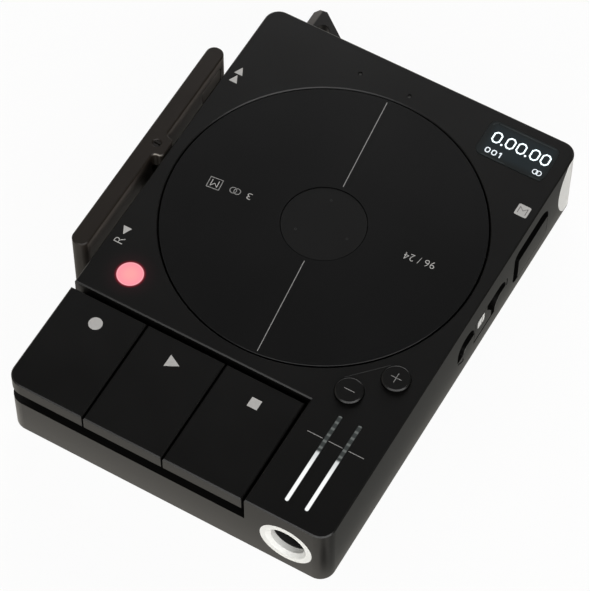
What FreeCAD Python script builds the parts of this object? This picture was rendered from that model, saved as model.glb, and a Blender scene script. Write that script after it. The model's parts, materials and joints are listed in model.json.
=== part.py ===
import FreeCAD, Part
import os
import Sketcher

# Pocket field recorder with a motorised reel, lying on its back.
# Millimetres, +Z up, +Y to the rear, origin at the middle of the flat underside.

doc = FreeCAD.newDocument("field_recorder")
sheet = doc.addObject("Spreadsheet::Sheet", "Sizes")


class Size:
    """A number together with the sheet expression that gives it."""

    def __init__(self, value, text):
        self.value = float(value)
        self.text = text

    def _join(self, other, sign, work):
        other = other if isinstance(other, Size) else Size(other, repr(float(other)))
        return Size(work(self.value, other.value), f"({self.text} {sign} {other.text})")

    def __add__(self, other):
        return self._join(other, "+", lambda a, b: a + b)

    def __sub__(self, other):
        return self._join(other, "-", lambda a, b: a - b)

    def __mul__(self, other):
        return self._join(other, "*", lambda a, b: a * b)

    def __truediv__(self, other):
        return self._join(other, "/", lambda a, b: a / b)

    def __neg__(self):
        return self * -1

    __radd__ = __add__
    __rmul__ = __mul__


# Driving sizes, each named once
# Case
body_width = 68.0
body_length = 98.0
body_height = 16.4
corner_radius = 3.0
edge_break = 0.25
wall = 1.8
deck_thickness = 1.6
cover_thickness = 1.5
cover_ledge = 0.9
seam = 0.05
air = 0.3

# Reel well and drive
reel_front_margin = 2.83
reel_rear_margin = 8.0
well_depth = 3.4
well_floor = 1.4
reel_gap = 0.3
well_edge_break = 0.2
reel_edge_break = 0.06
reel_thickness = 3.0
hub_cap_radius = 8.3
hub_cap_thickness = 1.1
hub_cap_recess = 0.1
hub_radius = 4.0
hub_height = 1.2
shaft_radius = 1.0
running_fit = 0.03
bearing_radius = 2.5
bearing_height = 2.3
sleeve_radius = 3.4
sleeve_flange_radius = 6.0
sleeve_flange_thickness = 0.8
sleeve_length = 6.4
stator_radius = 8.8
stator_height = 3.2
magnet_thickness = 1.8
rotor_wall = 0.9
rotor_base = 1.0
air_gap = 0.5

# Keys
control_strip = 17.2
key_bay_length = 24.17
shelf_drop = 6.9
shelf_thickness = 1.5
key_thickness = 3.2
key_sink = 0.3
key_gap = 0.4
key_side_gap = 0.6
key_rear_gap = 1.2
rod_radius = 0.6
rod_inset = 1.4
rod_drop = 1.2
ear_width = 1.6
post_width = 1.6
ear_clearance = 0.3
stem_radius = 1.2
stem_length = 1.7
stem_setback = 14.2
switch_radius = 2.2
switch_height = 1.9
board_thickness = 0.8
coil_wire = 0.4
coil_width = 2.4
spring_leg = 4.4

# Rocker lever on the left side
lever_thickness = 3.6
lever_front_reach = 27.2
lever_rear_reach = 25.4
lever_gap = 2.4
lever_foot_gap = 1.4
lever_sink = 0.2
lever_round = 1.7
pivot_y = 9.65
pivot_reach = 3.0
knuckle_width = 4.7
knuckle_gap = 0.35
knuckle_round = 1.1
knuckle_fillet = 0.9
pin_radius = 0.55
pin_head_radius = 0.75
pin_head_height = 0.9
pin_head_sink = 0.2
pin_slot_width = 0.28
pin_slot_depth = 0.3
lug_height = 4.6
lug_bottom = 5.6
lug_width = 4.0
lug_margin = 1.0
lug_clearance = 0.3
rocker_spring_height = 1.8
pocket_length = 7.0
pocket_height = 3.8
pocket_bottom = 9.7
pocket_depth = 0.4
pocket_y = 29.1

# Deck fittings
volume_radius = 2.72
volume_gap = 0.13
volume_rise = 0.6
volume_flange = 0.65
volume_flange_thickness = 0.8
volume_travel = 0.4
plus_inset = 5.7
plus_setback = 11.33
minus_inset = 11.9
minus_setback = 4.83
lamp_radius = 2.75
lamp_inset = 8.2
lamp_setback = 6.43
meter_width = 0.9
meter_length = 19.9
meter_front = 3.8
meter_pitch = 4.1
window_width = 14.8
window_depth = 8.5
window_round = 1.6
window_thickness = 0.8
window_inset_x = 10.1
window_inset_y = 6.45
window_lip = 0.9
window_rise = 0.05
microphone_inset = 5.6
microphone_left_x = -11.1
microphone_pitch = 10.9
microphone_hole = 0.45
microphone_radius = 1.6

# Right side
memo_inset = 12.0
memo_length = 14.0
memo_bottom = 2.8
memo_height = 9.9
memo_slit = 2.1
memo_notch = 4.0
memo_round = 1.6
memo_tip_round = 3.6
memo_switch_size = 3.4
memo_travel = 0.6
side_depth = 2.1
side_round = 0.6
hairline = 0.12
flange_thickness = 0.9
flange_margin = 0.8
slider_gap = 3.35
slider_length = 19.1
slider_bottom = 3.9
slider_top = 10.7
scoop_top = 11.3
scoop_shelf = 7.5
scoop_foot = 5.8
scoop_slit = 2.5
scoop_post = 0.3
scoop_round = 2.8
scoop_slit_round = 1.2
scoop_end_round = 2.9
channel_setback = 6.65
channel_length = 8.3
tab_length = 6.8
tab_notch_length = 1.9
tab_notch_rise = 2.8
tab_notch_bottom = 6.5
tab_notch_depth = 1.4
tab_foot_gap = 0.6

# Sockets
plug_radius = 3.25
plug_barrel = 3.85
plug_length = 30.0
plug_blind = 2.0
ring_radius = 5.4
ring_bore = 3.5
ring_bevel = 0.7
line_radius = 1.8
line_nose = 2.4
line_barrel = 2.8
line_length = 16.0
line_first_x = -8.0
line_pitch = 9.5
usb_inset = 12.5
usb_width = 8.9
usb_height = 3.2
usb_skin = 0.3
usb_length = 7.3
usb_tongue = 0.7

# Rear corner window and strap lug
corner_arc = 11.4
corner_reach = 7.5
corner_rim = 0.35
corner_skin = 1.75
strap_inset = 5.9
strap_width = 10.6
strap_reach = 7.4
strap_nose = 1.9
strap_thickness = 2.8
strap_hole = 1.3

# Inside
boss_radius = 1.5
boss_inset = 2.9
screw_radius = 0.75
screw_head_radius = 1.35
screw_head_height = 0.7
screw_length = 4.5
standoff_height = 1.0
standoff_radius = 1.5
standoff_inset = 2.5
board_margin = 4.8
board_front_gap = 3.4
speaker_board_gap = 2.7
battery_width = 42.0
battery_length = 20.5
speaker_inset = 2.4
speaker_width = 13.0
speaker_length = 15.0
speaker_height = 4.4
grille_hole = 0.5
grille_pitch = 2.4

# Each driving size becomes an aliased cell of the sheet
zero = Size(0, "0")
plain_sizes = {alias: value for alias, value in globals().items() if isinstance(value, float)}
for row, (alias, value) in enumerate(plain_sizes.items(), 1):
    sheet.set(f"A{row}", alias)
    sheet.set(f"B{row}", str(value))
    sheet.setAlias(f"B{row}", alias)
    globals()[alias] = Size(value, f"Sizes.{alias}")

# Levels and lines that several pieces share
half_width = body_width / 2
half_length = body_length / 2
key_bay_width = body_width - control_strip
shelf_height = body_height - shelf_drop
well_radius = (body_length - key_bay_length - reel_front_margin - reel_rear_margin) / 2
reel_y = half_length - reel_rear_margin - well_radius
inner_x = half_width - wall
inner_y = half_length - wall
deck_under = body_height - deck_thickness
well_top = body_height - well_depth
cavity_top = well_top - well_floor
shelf_under = shelf_height - shelf_thickness
step_x = key_bay_width - half_width
step_y = key_bay_length - half_length
plus_x = half_width - plus_inset
plus_y = step_y + plus_setback
minus_x = half_width - minus_inset
minus_y = step_y + minus_setback
lamp_x = lamp_inset - half_width
lamp_y = step_y + lamp_setback
plug_x = half_width - control_strip / 2
plug_z = cavity_top - plug_barrel - seam * 2
window_x = half_width - window_inset_x
window_y = half_length - window_inset_y
microphone_y = half_length - microphone_inset
memo_rear = half_length - memo_inset
slider_front = memo_rear - memo_length - slider_gap - slider_length
channel_front = slider_front + channel_setback
usb_x = half_width - usb_inset
strap_left_x = strap_inset - half_width
strap_bottom = cavity_top - air - strap_thickness
key_top = body_height - key_sink
key_under = key_top - key_thickness
key_rear = step_y - key_rear_gap
rod_y = key_rear - rod_inset
rod_z = key_under - rod_drop
key_width = (key_bay_width - key_side_gap - key_gap * 2) / 3
lever_inner_x = -half_width - lever_gap
lever_outer_x = lever_inner_x - lever_thickness
lever_top = body_height - lever_sink
pivot_x = -half_width - pivot_reach
speaker_x = speaker_width / 2 + speaker_inset - inner_x
speaker_y = inner_y - boss_inset - air * 2 - speaker_length / 2
board_edge = half_width - board_margin
board_front = step_y + board_front_gap
board_split_y = speaker_y - speaker_length / 2 - speaker_board_gap
board_level = cover_thickness + standoff_height
board_top = board_level + board_thickness
line_z = board_top + line_barrel
usb_z = board_top + usb_height / 2
line_spots = [line_first_x + line_pitch * index for index in range(3)]
side_face = half_width
microphone_right_x = microphone_left_x + microphone_pitch
meter_left_x = plug_x - meter_pitch / 2
meter_right_x = meter_left_x + meter_pitch
meter_start = meter_front - half_length
volume_spots = {"minus": (minus_x, minus_y), "plus": (plus_x, plus_y)}
boss_spots = [
    (boss_inset - half_width, half_length - boss_inset),
    (boss_inset - half_width, step_y + boss_inset),
    (boss_inset - half_width, boss_inset - half_length),
    (half_width - boss_inset, boss_inset - half_length),
    (half_width - boss_inset, (minus_y + slider_front) / 2),
    (half_width - boss_inset, memo_rear + boss_inset),
]


def bind(thing, path, size):
    """Ties one property to the sheet."""
    thing.setExpression(path, size.text)


def new_body(name):
    """An empty body with its own label."""
    return doc.addObject("PartDesign::Body", name)


def new_sketch(body, plane, offset):
    """A sketch on one of the body's own planes, moved along that plane's normal."""
    sketch = body.newObject("Sketcher::SketchObject", "outline")
    role = f"{plane}_Plane"
    origin_plane = [part for part in body.Origin.OriginFeatures if part.Role == role][0]
    sketch.AttachmentSupport = [(origin_plane, "")]
    sketch.MapMode = "FlatFace"
    bind(sketch, "AttachmentOffset.Base.z", offset)
    return sketch


def hold(sketch, kind, first, size):
    """Adds one dimension from the sketch's origin and ties it to the sheet."""
    index = sketch.addConstraint(Sketcher.Constraint(kind, -1, 1, *first, size.value))
    name = f"size{index}"
    sketch.renameConstraint(index, name)
    bind(sketch, f"Constraints.{name}", size)


def hold_radius(sketch, curve, size):
    """Ties a circle's or arc's radius to the sheet."""
    index = sketch.addConstraint(Sketcher.Constraint("Radius", curve, size.value))
    name = f"size{index}"
    sketch.renameConstraint(index, name)
    bind(sketch, f"Constraints.{name}", size)


def add_circle(sketch, x, y, radius):
    """A circle held by its centre and radius."""
    centre = FreeCAD.Vector(x.value, y.value, 0)
    curve = sketch.addGeometry(Part.Circle(centre, FreeCAD.Vector(0, 0, 1), radius.value))
    hold_radius(sketch, curve, radius)
    hold(sketch, "DistanceX", (curve, 3), x)
    hold(sketch, "DistanceY", (curve, 3), y)


def add_polygon(sketch, corners):
    """Straight sides between corners that are each held by their coordinates."""
    places = [FreeCAD.Vector(x.value, y.value, 0) for x, y in corners]
    count = len(places)
    lines = []
    for index in range(count):
        lines.append(sketch.addGeometry(Part.LineSegment(places[index], places[(index + 1) % count])))
    for index in range(count):
        following = lines[(index + 1) % count]
        sketch.addConstraint(Sketcher.Constraint("Coincident", lines[index], 2, following, 1))
    for line, (x, y) in zip(lines, corners):
        hold(sketch, "DistanceX", (line, 1), x)
        hold(sketch, "DistanceY", (line, 1), y)


def add_square_path(sketch, corners, radii):
    """Level and upright sides in turn, starting level, with a round at each corner that has a radius."""
    count = len(corners)
    places = [FreeCAD.Vector(x.value, y.value, 0) for x, y in corners]
    ways = [(places[(i + 1) % count] - places[i]).normalize() for i in range(count)]
    lines = []
    for i in range(count):
        start_trim = radii[i].value if radii[i] else 0
        end_radius = radii[(i + 1) % count]
        end_trim = end_radius.value if end_radius else 0
        start = places[i] + ways[i] * start_trim
        end = places[(i + 1) % count] - ways[i] * end_trim
        lines.append(sketch.addGeometry(Part.LineSegment(start, end)))
        sketch.addConstraint(Sketcher.Constraint("Horizontal" if i % 2 == 0 else "Vertical", lines[i]))
    for i in range(count):
        before = lines[i - 1]
        after = lines[i]
        if radii[i] is None:
            sketch.addConstraint(Sketcher.Constraint("Coincident", before, 2, after, 1))
            continue
        add_round(sketch, places[i], ways[i - 1], ways[i], radii[i], before, after)
    for i in range(count):
        x, y = corners[i]
        if i % 2 == 0:
            hold(sketch, "DistanceY", (lines[i], 1), y)
        else:
            hold(sketch, "DistanceX", (lines[i], 1), x)


def add_round(sketch, corner, way_in, way_out, radius, before, after):
    """A quarter round that is tangent to the sides before and after a corner."""
    start = corner - way_in * radius.value
    end = corner + way_out * radius.value
    centre = corner - way_in * radius.value + way_out * radius.value
    middle = centre + (corner - centre).normalize() * radius.value
    arc = Part.Arc(start, middle, end)
    curve = sketch.addGeometry(arc)
    left_turn = way_in.cross(way_out).z > 0
    first, last = (1, 2) if left_turn else (2, 1)
    sketch.addConstraint(Sketcher.Constraint("Tangent", before, 2, curve, first))
    sketch.addConstraint(Sketcher.Constraint("Tangent", curve, last, after, 1))
    hold_radius(sketch, curve, radius)


def add_box_outline(sketch, x0, x1, y0, y1, radius=None):
    """A rectangle between two corners, with one radius all round if given."""
    add_square_path(sketch, [(x0, y0), (x1, y0), (x1, y1), (x0, y1)], [radius] * 4)


def pad(body, sketch, length):
    """Grows the outline along its plane's normal."""
    feature = body.newObject("PartDesign::Pad", "pad")
    feature.Profile = sketch
    bind(feature, "Length", length)
    sketch.Visibility = False
    return feature


def pocket(body, sketch, length, reverse=False):
    """Cuts the outline against its plane's normal, or along it, and makes sure that it cuts."""
    doc.recompute()
    before = body.Shape.Volume
    feature = body.newObject("PartDesign::Pocket", "pocket")
    feature.Profile = sketch
    feature.Reversed = reverse
    bind(feature, "Length", length)
    doc.recompute()
    assert body.Shape.Volume < before, f"a cut in {body.Label} removes nothing"
    return feature


def break_edges(body, chosen, size, kind="Chamfer"):
    """Breaks or rounds the edges of the body that the test picks."""
    doc.recompute()
    names = [f"Edge{i + 1}" for i, edge in enumerate(body.Shape.Edges) if chosen(edge)]
    assert names, f"no edge to break in {body.Label}"
    solid = body.Tip
    feature = body.newObject(f"PartDesign::{kind}", "edge")
    feature.Base = (solid, names)
    bind(feature, "Size" if kind == "Chamfer" else "Radius", size)
    body.Tip = feature
    return feature


def at_level(level):
    """Picks edges that lie flat at one height."""

    def test(edge):
        box = edge.BoundBox
        return abs(box.ZMin - level.value) < 0.001 and abs(box.ZMax - level.value) < 0.001

    return test


def place(thing, x=zero, y=zero, z=zero):
    """Puts a piece where the sheet says."""
    bind(thing, "Placement.Base.x", x)
    bind(thing, "Placement.Base.y", y)
    bind(thing, "Placement.Base.z", z)
    return thing


def turn(thing, axis, angle):
    """Turns a piece about its own origin."""
    thing.Placement = FreeCAD.Placement(thing.Placement.Base, FreeCAD.Rotation(FreeCAD.Vector(*axis), angle))
    return thing


def turned(name, profile):
    """A lathe piece: corners of radius and height, spun about Z."""
    body = new_body(name)
    sketch = new_sketch(body, "XZ", zero)
    add_polygon(sketch, profile)
    feature = body.newObject("PartDesign::Revolution", "revolution")
    feature.Profile = sketch
    feature.ReferenceAxis = (sketch, ["V_Axis"])
    feature.Angle = 360
    return body


def tube(name, inner, outer, bottom, top):
    """A plain ring or sleeve about Z."""
    return turned(name, [(inner, bottom), (outer, bottom), (outer, top), (inner, top)])


def plate(name, x0, x1, y0, y1, z0, z1, radius=None):
    """A flat slab between two corners."""
    body = new_body(name)
    sketch = new_sketch(body, "XY", z0)
    add_box_outline(sketch, x0, x1, y0, y1, radius)
    pad(body, sketch, z1 - z0)
    return body


def cut_box(body, x0, x1, y0, y1, z0, z1, radius=None):
    """Removes an upright box, worked from its top down."""
    sketch = new_sketch(body, "XY", z1)
    add_box_outline(sketch, x0, x1, y0, y1, radius)
    pocket(body, sketch, z1 - z0)


def cut_round(body, spots, radius, z0, z1):
    """Removes upright round holes, worked from their top down."""
    cut_shapes(body, [(x, y, radius) for x, y in spots], [], z0, z1)


def cut_shapes(body, circles, boxes, z0, z1):
    """Removes holes of one depth, round ones and boxes, worked from their top down."""
    sketch = new_sketch(body, "XY", z1)
    for x, y, radius in circles:
        add_circle(sketch, x, y, radius)
    for box in boxes:
        add_box_outline(sketch, *box)
    pocket(body, sketch, z1 - z0)


def add_posts(body, spots, radius, z0, z1):
    """Adds upright round posts."""
    sketch = new_sketch(body, "XY", z0)
    for x, y in spots:
        add_circle(sketch, x, y, radius)
    pad(body, sketch, z1 - z0)


def key_span(index):
    """Left and right edge of one key, counted from the left."""
    left = (key_width + key_gap) * index - half_width
    return left, left + key_width


def post_spans():
    """The upright posts that carry the keys' rod, one at each end and one between each two keys."""
    first = Size(0, "0") - half_width + ear_clearance
    spans = [(first, first + post_width)]
    for index in (1, 2):
        middle = (key_width + key_gap) * index - half_width - key_gap / 2
        spans.append((middle - post_width / 2, middle + post_width / 2))
    last = key_span(2)[1] - ear_clearance
    spans.append((last - post_width, last))
    return spans


def make_case():
    """The milled case: deck, walls, reel well, key shelf, bosses and every opening."""
    body = new_body("case_block")
    outline = new_sketch(body, "XY", zero)
    add_box_outline(outline, -half_width, half_width, -half_length, half_length, corner_radius)
    pad(body, outline, body_height)
    break_edges(body, at_level(body_height), edge_break)
    hollow_case(body)
    open_deck(body)
    open_walls(body)
    carry_keys(body)
    carry_lever(body)
    return body


def hollow_case(body):
    """The rebate for the cover, three hollows, the key bay, the reel well and the screw bosses."""
    lip_x = half_width - cover_ledge
    lip_y = half_length - cover_ledge
    inner_round = corner_radius - cover_ledge
    cut_box(body, -lip_x, lip_x, -lip_y, lip_y, zero, cover_thickness, inner_round)
    front_of_rear_hollow = step_y + wall
    cut_box(body, -inner_x, inner_x, front_of_rear_hollow, inner_y, zero, cavity_top, corner_radius - wall)
    cut_box(body, -inner_x, step_x + wall, -inner_y, front_of_rear_hollow, zero, shelf_under)
    cut_box(body, step_x + wall, inner_x, -inner_y, front_of_rear_hollow, zero, deck_under)
    cut_box(body, -half_width - wall, step_x, -half_length - wall, step_y, shelf_height, body_height)
    break_edges(body, on_step, edge_break)
    cut_round(body, [(zero, reel_y)], well_radius, well_top, body_height)
    break_edges(body, on_well_rim, well_edge_break)
    cut_round(body, [(zero, reel_y)], sleeve_radius + seam, cavity_top, well_top)
    low = [spot for spot in boss_spots if spot[1].value < step_y.value and spot[0].value < step_x.value]
    tall = [spot for spot in boss_spots if spot not in low]
    add_posts(body, tall, boss_radius, cover_thickness, cavity_top + seam)
    add_posts(body, low, boss_radius, cover_thickness, shelf_under + seam)
    cut_round(body, boss_spots, screw_radius, zero, cover_thickness + screw_length)


def on_step(edge):
    """Picks the two top edges of the key bay, which the deck ends at."""
    box = edge.BoundBox
    flat = abs(box.ZMin - body_height.value) < 0.001
    across = abs(box.YMin - step_y.value) < 0.001 and box.YLength < 0.001
    along = abs(box.XMin - step_x.value) < 0.001 and box.XLength < 0.001
    return flat and box.ZLength < 0.001 and (across or along)


def on_well_rim(edge):
    """Picks the top edge of the reel well."""
    box = edge.BoundBox
    return abs(box.ZMin - body_height.value) < 0.001 and abs(box.XLength - well_radius.value * 2) < 0.01


def open_deck(body):
    """Holes in the deck for the lamp, buttons, meters, window and microphones."""
    seats = [(lamp_x, lamp_y, lamp_radius + volume_flange + air)]
    holes = [(lamp_x, lamp_y, lamp_radius + seam)]
    for x, y in volume_spots.values():
        seats.append((x, y, volume_radius + volume_flange + air))
        holes.append((x, y, volume_radius + volume_gap))
    for x in (microphone_left_x, microphone_right_x):
        seats.append((x, microphone_y + microphone_radius - microphone_hole, microphone_radius + seam))
        holes.append((x, microphone_y, microphone_hole))
    slots = []
    for x in (meter_left_x, meter_right_x):
        half = meter_width / 2 + seam
        slots.append((x - half, x + half, meter_start - seam, meter_start + meter_length + seam))
    half_x = window_width / 2 + seam
    half_y = window_depth / 2 + seam
    behind = (window_x - half_x, inner_x, window_y - half_y, inner_y)
    cut_shapes(body, seats, [behind], cavity_top, deck_under)
    cut_shapes(body, holes, slots, deck_under, body_height)
    seat = body_height + window_rise - window_thickness
    cut_box(body, window_x - half_x, window_x + half_x, window_y - half_y, window_y + half_y,
            seat, body_height, window_round + seam)
    half_x = half_x - window_lip
    half_y = half_y - window_lip
    cut_box(body, window_x - half_x, window_x + half_x, window_y - half_y, window_y + half_y,
            deck_under, seat, window_round - window_lip)


def open_walls(body):
    """Openings in the front, rear and right walls."""
    front = new_sketch(body, "XZ", half_length)
    add_circle(front, plug_x, plug_z, ring_radius + seam)
    pocket(body, front, wall)
    rear = new_sketch(body, "XZ", -half_length)
    for x in line_spots:
        add_circle(rear, x, line_z, line_nose + seam)
    half_x = usb_width / 2 + seam
    half_z = usb_height / 2 + seam
    add_box_outline(rear, usb_x - half_x, usb_x + half_x, usb_z - half_z, usb_z + half_z, half_z - seam)
    add_box_outline(rear, strap_left_x - seam, strap_left_x + strap_width + seam, strap_bottom - seam,
                    strap_bottom + strap_thickness + seam)
    pocket(body, rear, wall, reverse=True)
    right = new_sketch(body, "YZ", side_face)
    memo_front = memo_rear - memo_length
    memo_top = memo_bottom + memo_height
    add_square_path(right, [(memo_front, memo_bottom), (memo_rear, memo_bottom), (memo_rear, memo_top),
                            (memo_front, memo_top)], [memo_round, side_round, memo_tip_round, memo_round])
    add_slider_opening(right)
    pocket(body, right, side_depth)


def add_slider_opening(sketch):
    """Two finger scoops and the channel between them that the tab slides in."""
    rear = slider_front + slider_length
    channel_rear = channel_front + channel_length
    slit_rear = slider_front + scoop_slit
    post = channel_front - scoop_post
    crest = scoop_top - scoop_end_round - scoop_post * 2
    corners = [
        (slider_front, scoop_top),
        (post, scoop_top),
        (post, crest),
        (channel_front, crest),
        (channel_front, slider_top),
        (rear, slider_top),
        (rear, scoop_shelf),
        (channel_rear, scoop_shelf),
        (channel_rear, slider_bottom),
        (channel_front, slider_bottom),
        (channel_front, scoop_shelf),
        (slit_rear, scoop_shelf),
        (slit_rear, scoop_foot),
        (slider_front, scoop_foot),
    ]
    sharp = None
    radii = [scoop_end_round, scoop_end_round, sharp, sharp, sharp, scoop_end_round, sharp, scoop_round,
             sharp, sharp, sharp, scoop_slit_round, side_round, side_round]
    add_square_path(sketch, corners, radii)


def carry_keys(body):
    """Posts on the shelf for the keys' rod, and holes in the shelf for the switches."""
    post_top = rod_z + rod_radius + rod_drop / 4
    posts = new_sketch(body, "XY", shelf_height)
    for left, right in post_spans():
        add_box_outline(posts, left, right, rod_y - rod_radius * 2, rod_y + rod_radius * 2)
    pad(body, posts, post_top - shelf_height)
    hole = new_sketch(body, "YZ", step_x - seam)
    add_circle(hole, rod_y, rod_z, rod_radius + running_fit)
    pocket(body, hole, key_bay_width - seam * 2)
    spots = [switch_spot(index) for index in range(3)]
    cut_round(body, spots, switch_radius + air, shelf_under, shelf_height)


def switch_spot(index):
    """Where a key's stem meets its switch."""
    left, right = key_span(index)
    return (left + right) / 2, rod_y - stem_setback


def carry_lever(body):
    """The lug on the left wall that carries the lever's pin."""
    lug = new_sketch(body, "XY", lug_bottom)
    tip = pivot_x - pin_radius - lug_margin
    add_box_outline(lug, tip, -inner_x, pivot_y - lug_width / 2, pivot_y + lug_width / 2, lug_margin)
    pad(body, lug, lug_height)
    cut_round(body, [(pivot_x, pivot_y)], pin_radius + running_fit, lug_bottom, lug_bottom + lug_height)


def make_corner_window():
    """The white insert that wraps the rear right corner, with an arc edge on both walls."""
    body = new_body("corner_window")
    reach = corner_reach + corner_radius
    outer_x = half_width
    outer_y = half_length
    skin_x = outer_x - corner_skin
    skin_y = outer_y - corner_skin
    outline = new_sketch(body, "XY", corner_rim)
    corners = [(outer_x, outer_y - reach), (outer_x, outer_y), (outer_x - reach, outer_y),
               (outer_x - reach, skin_y), (skin_x, skin_y), (skin_x, outer_y - reach)]
    path = [corners[5], corners[0], corners[1], corners[2], corners[3], corners[4]]
    radii = [None, None, corner_radius, None, None, corner_radius - corner_skin]
    add_square_path(outline, path, radii)
    pad(body, outline, body_height - corner_rim * 2)
    middle = body_height / 2
    for plane, offset, edge in (("YZ", half_width, half_length), ("XZ", corner_skin - half_length, half_width)):
        cut = new_sketch(body, plane, offset)
        add_arc_wedge(cut, edge - corner_reach, edge - reach - wall, middle)
        pocket(body, cut, corner_skin)
    lip = cover_ledge
    cut_box(body, outer_x - reach - wall, outer_x - lip, outer_y - reach - wall, outer_y - lip, corner_rim,
            cover_thickness, corner_radius - lip)
    return body


def add_arc_wedge(sketch, apex, far, middle):
    """Everything before an arc that bulges away from the corner and touches the apex line."""
    rise = middle + wall
    radius = corner_arc.value
    drop = radius - (radius ** 2 - rise.value ** 2) ** 0.5
    along = apex.value + drop
    low = FreeCAD.Vector(along, middle.value - rise.value, 0)
    high = FreeCAD.Vector(along, middle.value + rise.value, 0)
    tip = FreeCAD.Vector(apex.value, middle.value, 0)
    arc = sketch.addGeometry(Part.Arc(low, tip, high))
    far_low = FreeCAD.Vector(far.value, low.y, 0)
    far_high = FreeCAD.Vector(far.value, high.y, 0)
    top = sketch.addGeometry(Part.LineSegment(high, far_high))
    side = sketch.addGeometry(Part.LineSegment(far_high, far_low))
    bottom = sketch.addGeometry(Part.LineSegment(far_low, low))
    sketch.addConstraint(Sketcher.Constraint("Coincident", top, 2, side, 1))
    sketch.addConstraint(Sketcher.Constraint("Coincident", side, 2, bottom, 1))
    sketch.addConstraint(Sketcher.Constraint("Coincident", arc, 2, bottom, 2))
    sketch.addConstraint(Sketcher.Constraint("Coincident", arc, 1, top, 1))
    sketch.addConstraint(Sketcher.Constraint("Horizontal", top))
    sketch.addConstraint(Sketcher.Constraint("Horizontal", bottom))
    sketch.addConstraint(Sketcher.Constraint("Vertical", side))
    hold_radius(sketch, arc, corner_arc)
    hold(sketch, "DistanceX", (arc, 3), apex + corner_arc)
    hold(sketch, "DistanceY", (arc, 3), middle)
    hold(sketch, "DistanceY", (bottom, 1), middle - rise)
    hold(sketch, "DistanceY", (top, 1), middle + rise)
    hold(sketch, "DistanceX", (side, 1), far)


def make_housing():
    """The case with the corner window's place cut out of it."""
    block = make_case()
    window = make_corner_window()
    housing = doc.addObject("Part::Cut", "housing")
    housing.Base = block
    housing.Tool = window
    return [housing, window]


def make_bottom_cover():
    """The flat cover in the case's rebate, with standoffs, speaker holes and counterbored screw holes."""
    gap_x = half_width - cover_ledge - seam
    gap_y = half_length - cover_ledge - seam
    body = plate("bottom_cover", -gap_x, gap_x, -gap_y, gap_y, zero, cover_thickness,
                 corner_radius - cover_ledge - seam)
    stand_x = board_edge - standoff_inset
    spots = [(-stand_x, board_front + standoff_inset), (stand_x, board_front + standoff_inset),
             (-stand_x, board_split_y - standoff_inset), (stand_x, board_split_y - standoff_inset),
             (line_first_x, inner_y - line_length / 2), (usb_x, inner_y - line_length / 2)]
    add_posts(body, spots, standoff_radius, cover_thickness, board_level)
    cut_round(body, boss_spots, screw_radius + seam, zero, cover_thickness)
    cut_round(body, boss_spots, screw_head_radius + seam, zero, screw_head_height)
    holes = []
    for column in (-1.5, -0.5, 0.5, 1.5):
        for row in (-1.5, -0.5, 0.5, 1.5):
            holes.append((speaker_x + grille_pitch * column, speaker_y + grille_pitch * row))
    cut_round(body, holes, grille_hole, zero, cover_thickness)
    return [body]


def make_cover_screws():
    """Six countersunk screws as one group of solids."""
    screws = []
    for index, (x, y) in enumerate(boss_spots):
        shank = screw_radius - seam / 2
        end = cover_thickness + screw_length - air
        screw = turned(f"screw_{index}", [(zero, zero + seam), (screw_head_radius, zero + seam),
                                         (screw_head_radius, screw_head_height), (shank, screw_head_height),
                                         (shank, end), (zero, end)])
        place(screw, x, y)
        screws.append(screw)
    return [group("cover_screws", screws)]


def group(name, pieces):
    """Several like pieces kept in one node."""
    compound = doc.addObject("Part::Compound", name)
    compound.Links = pieces
    return compound


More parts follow.
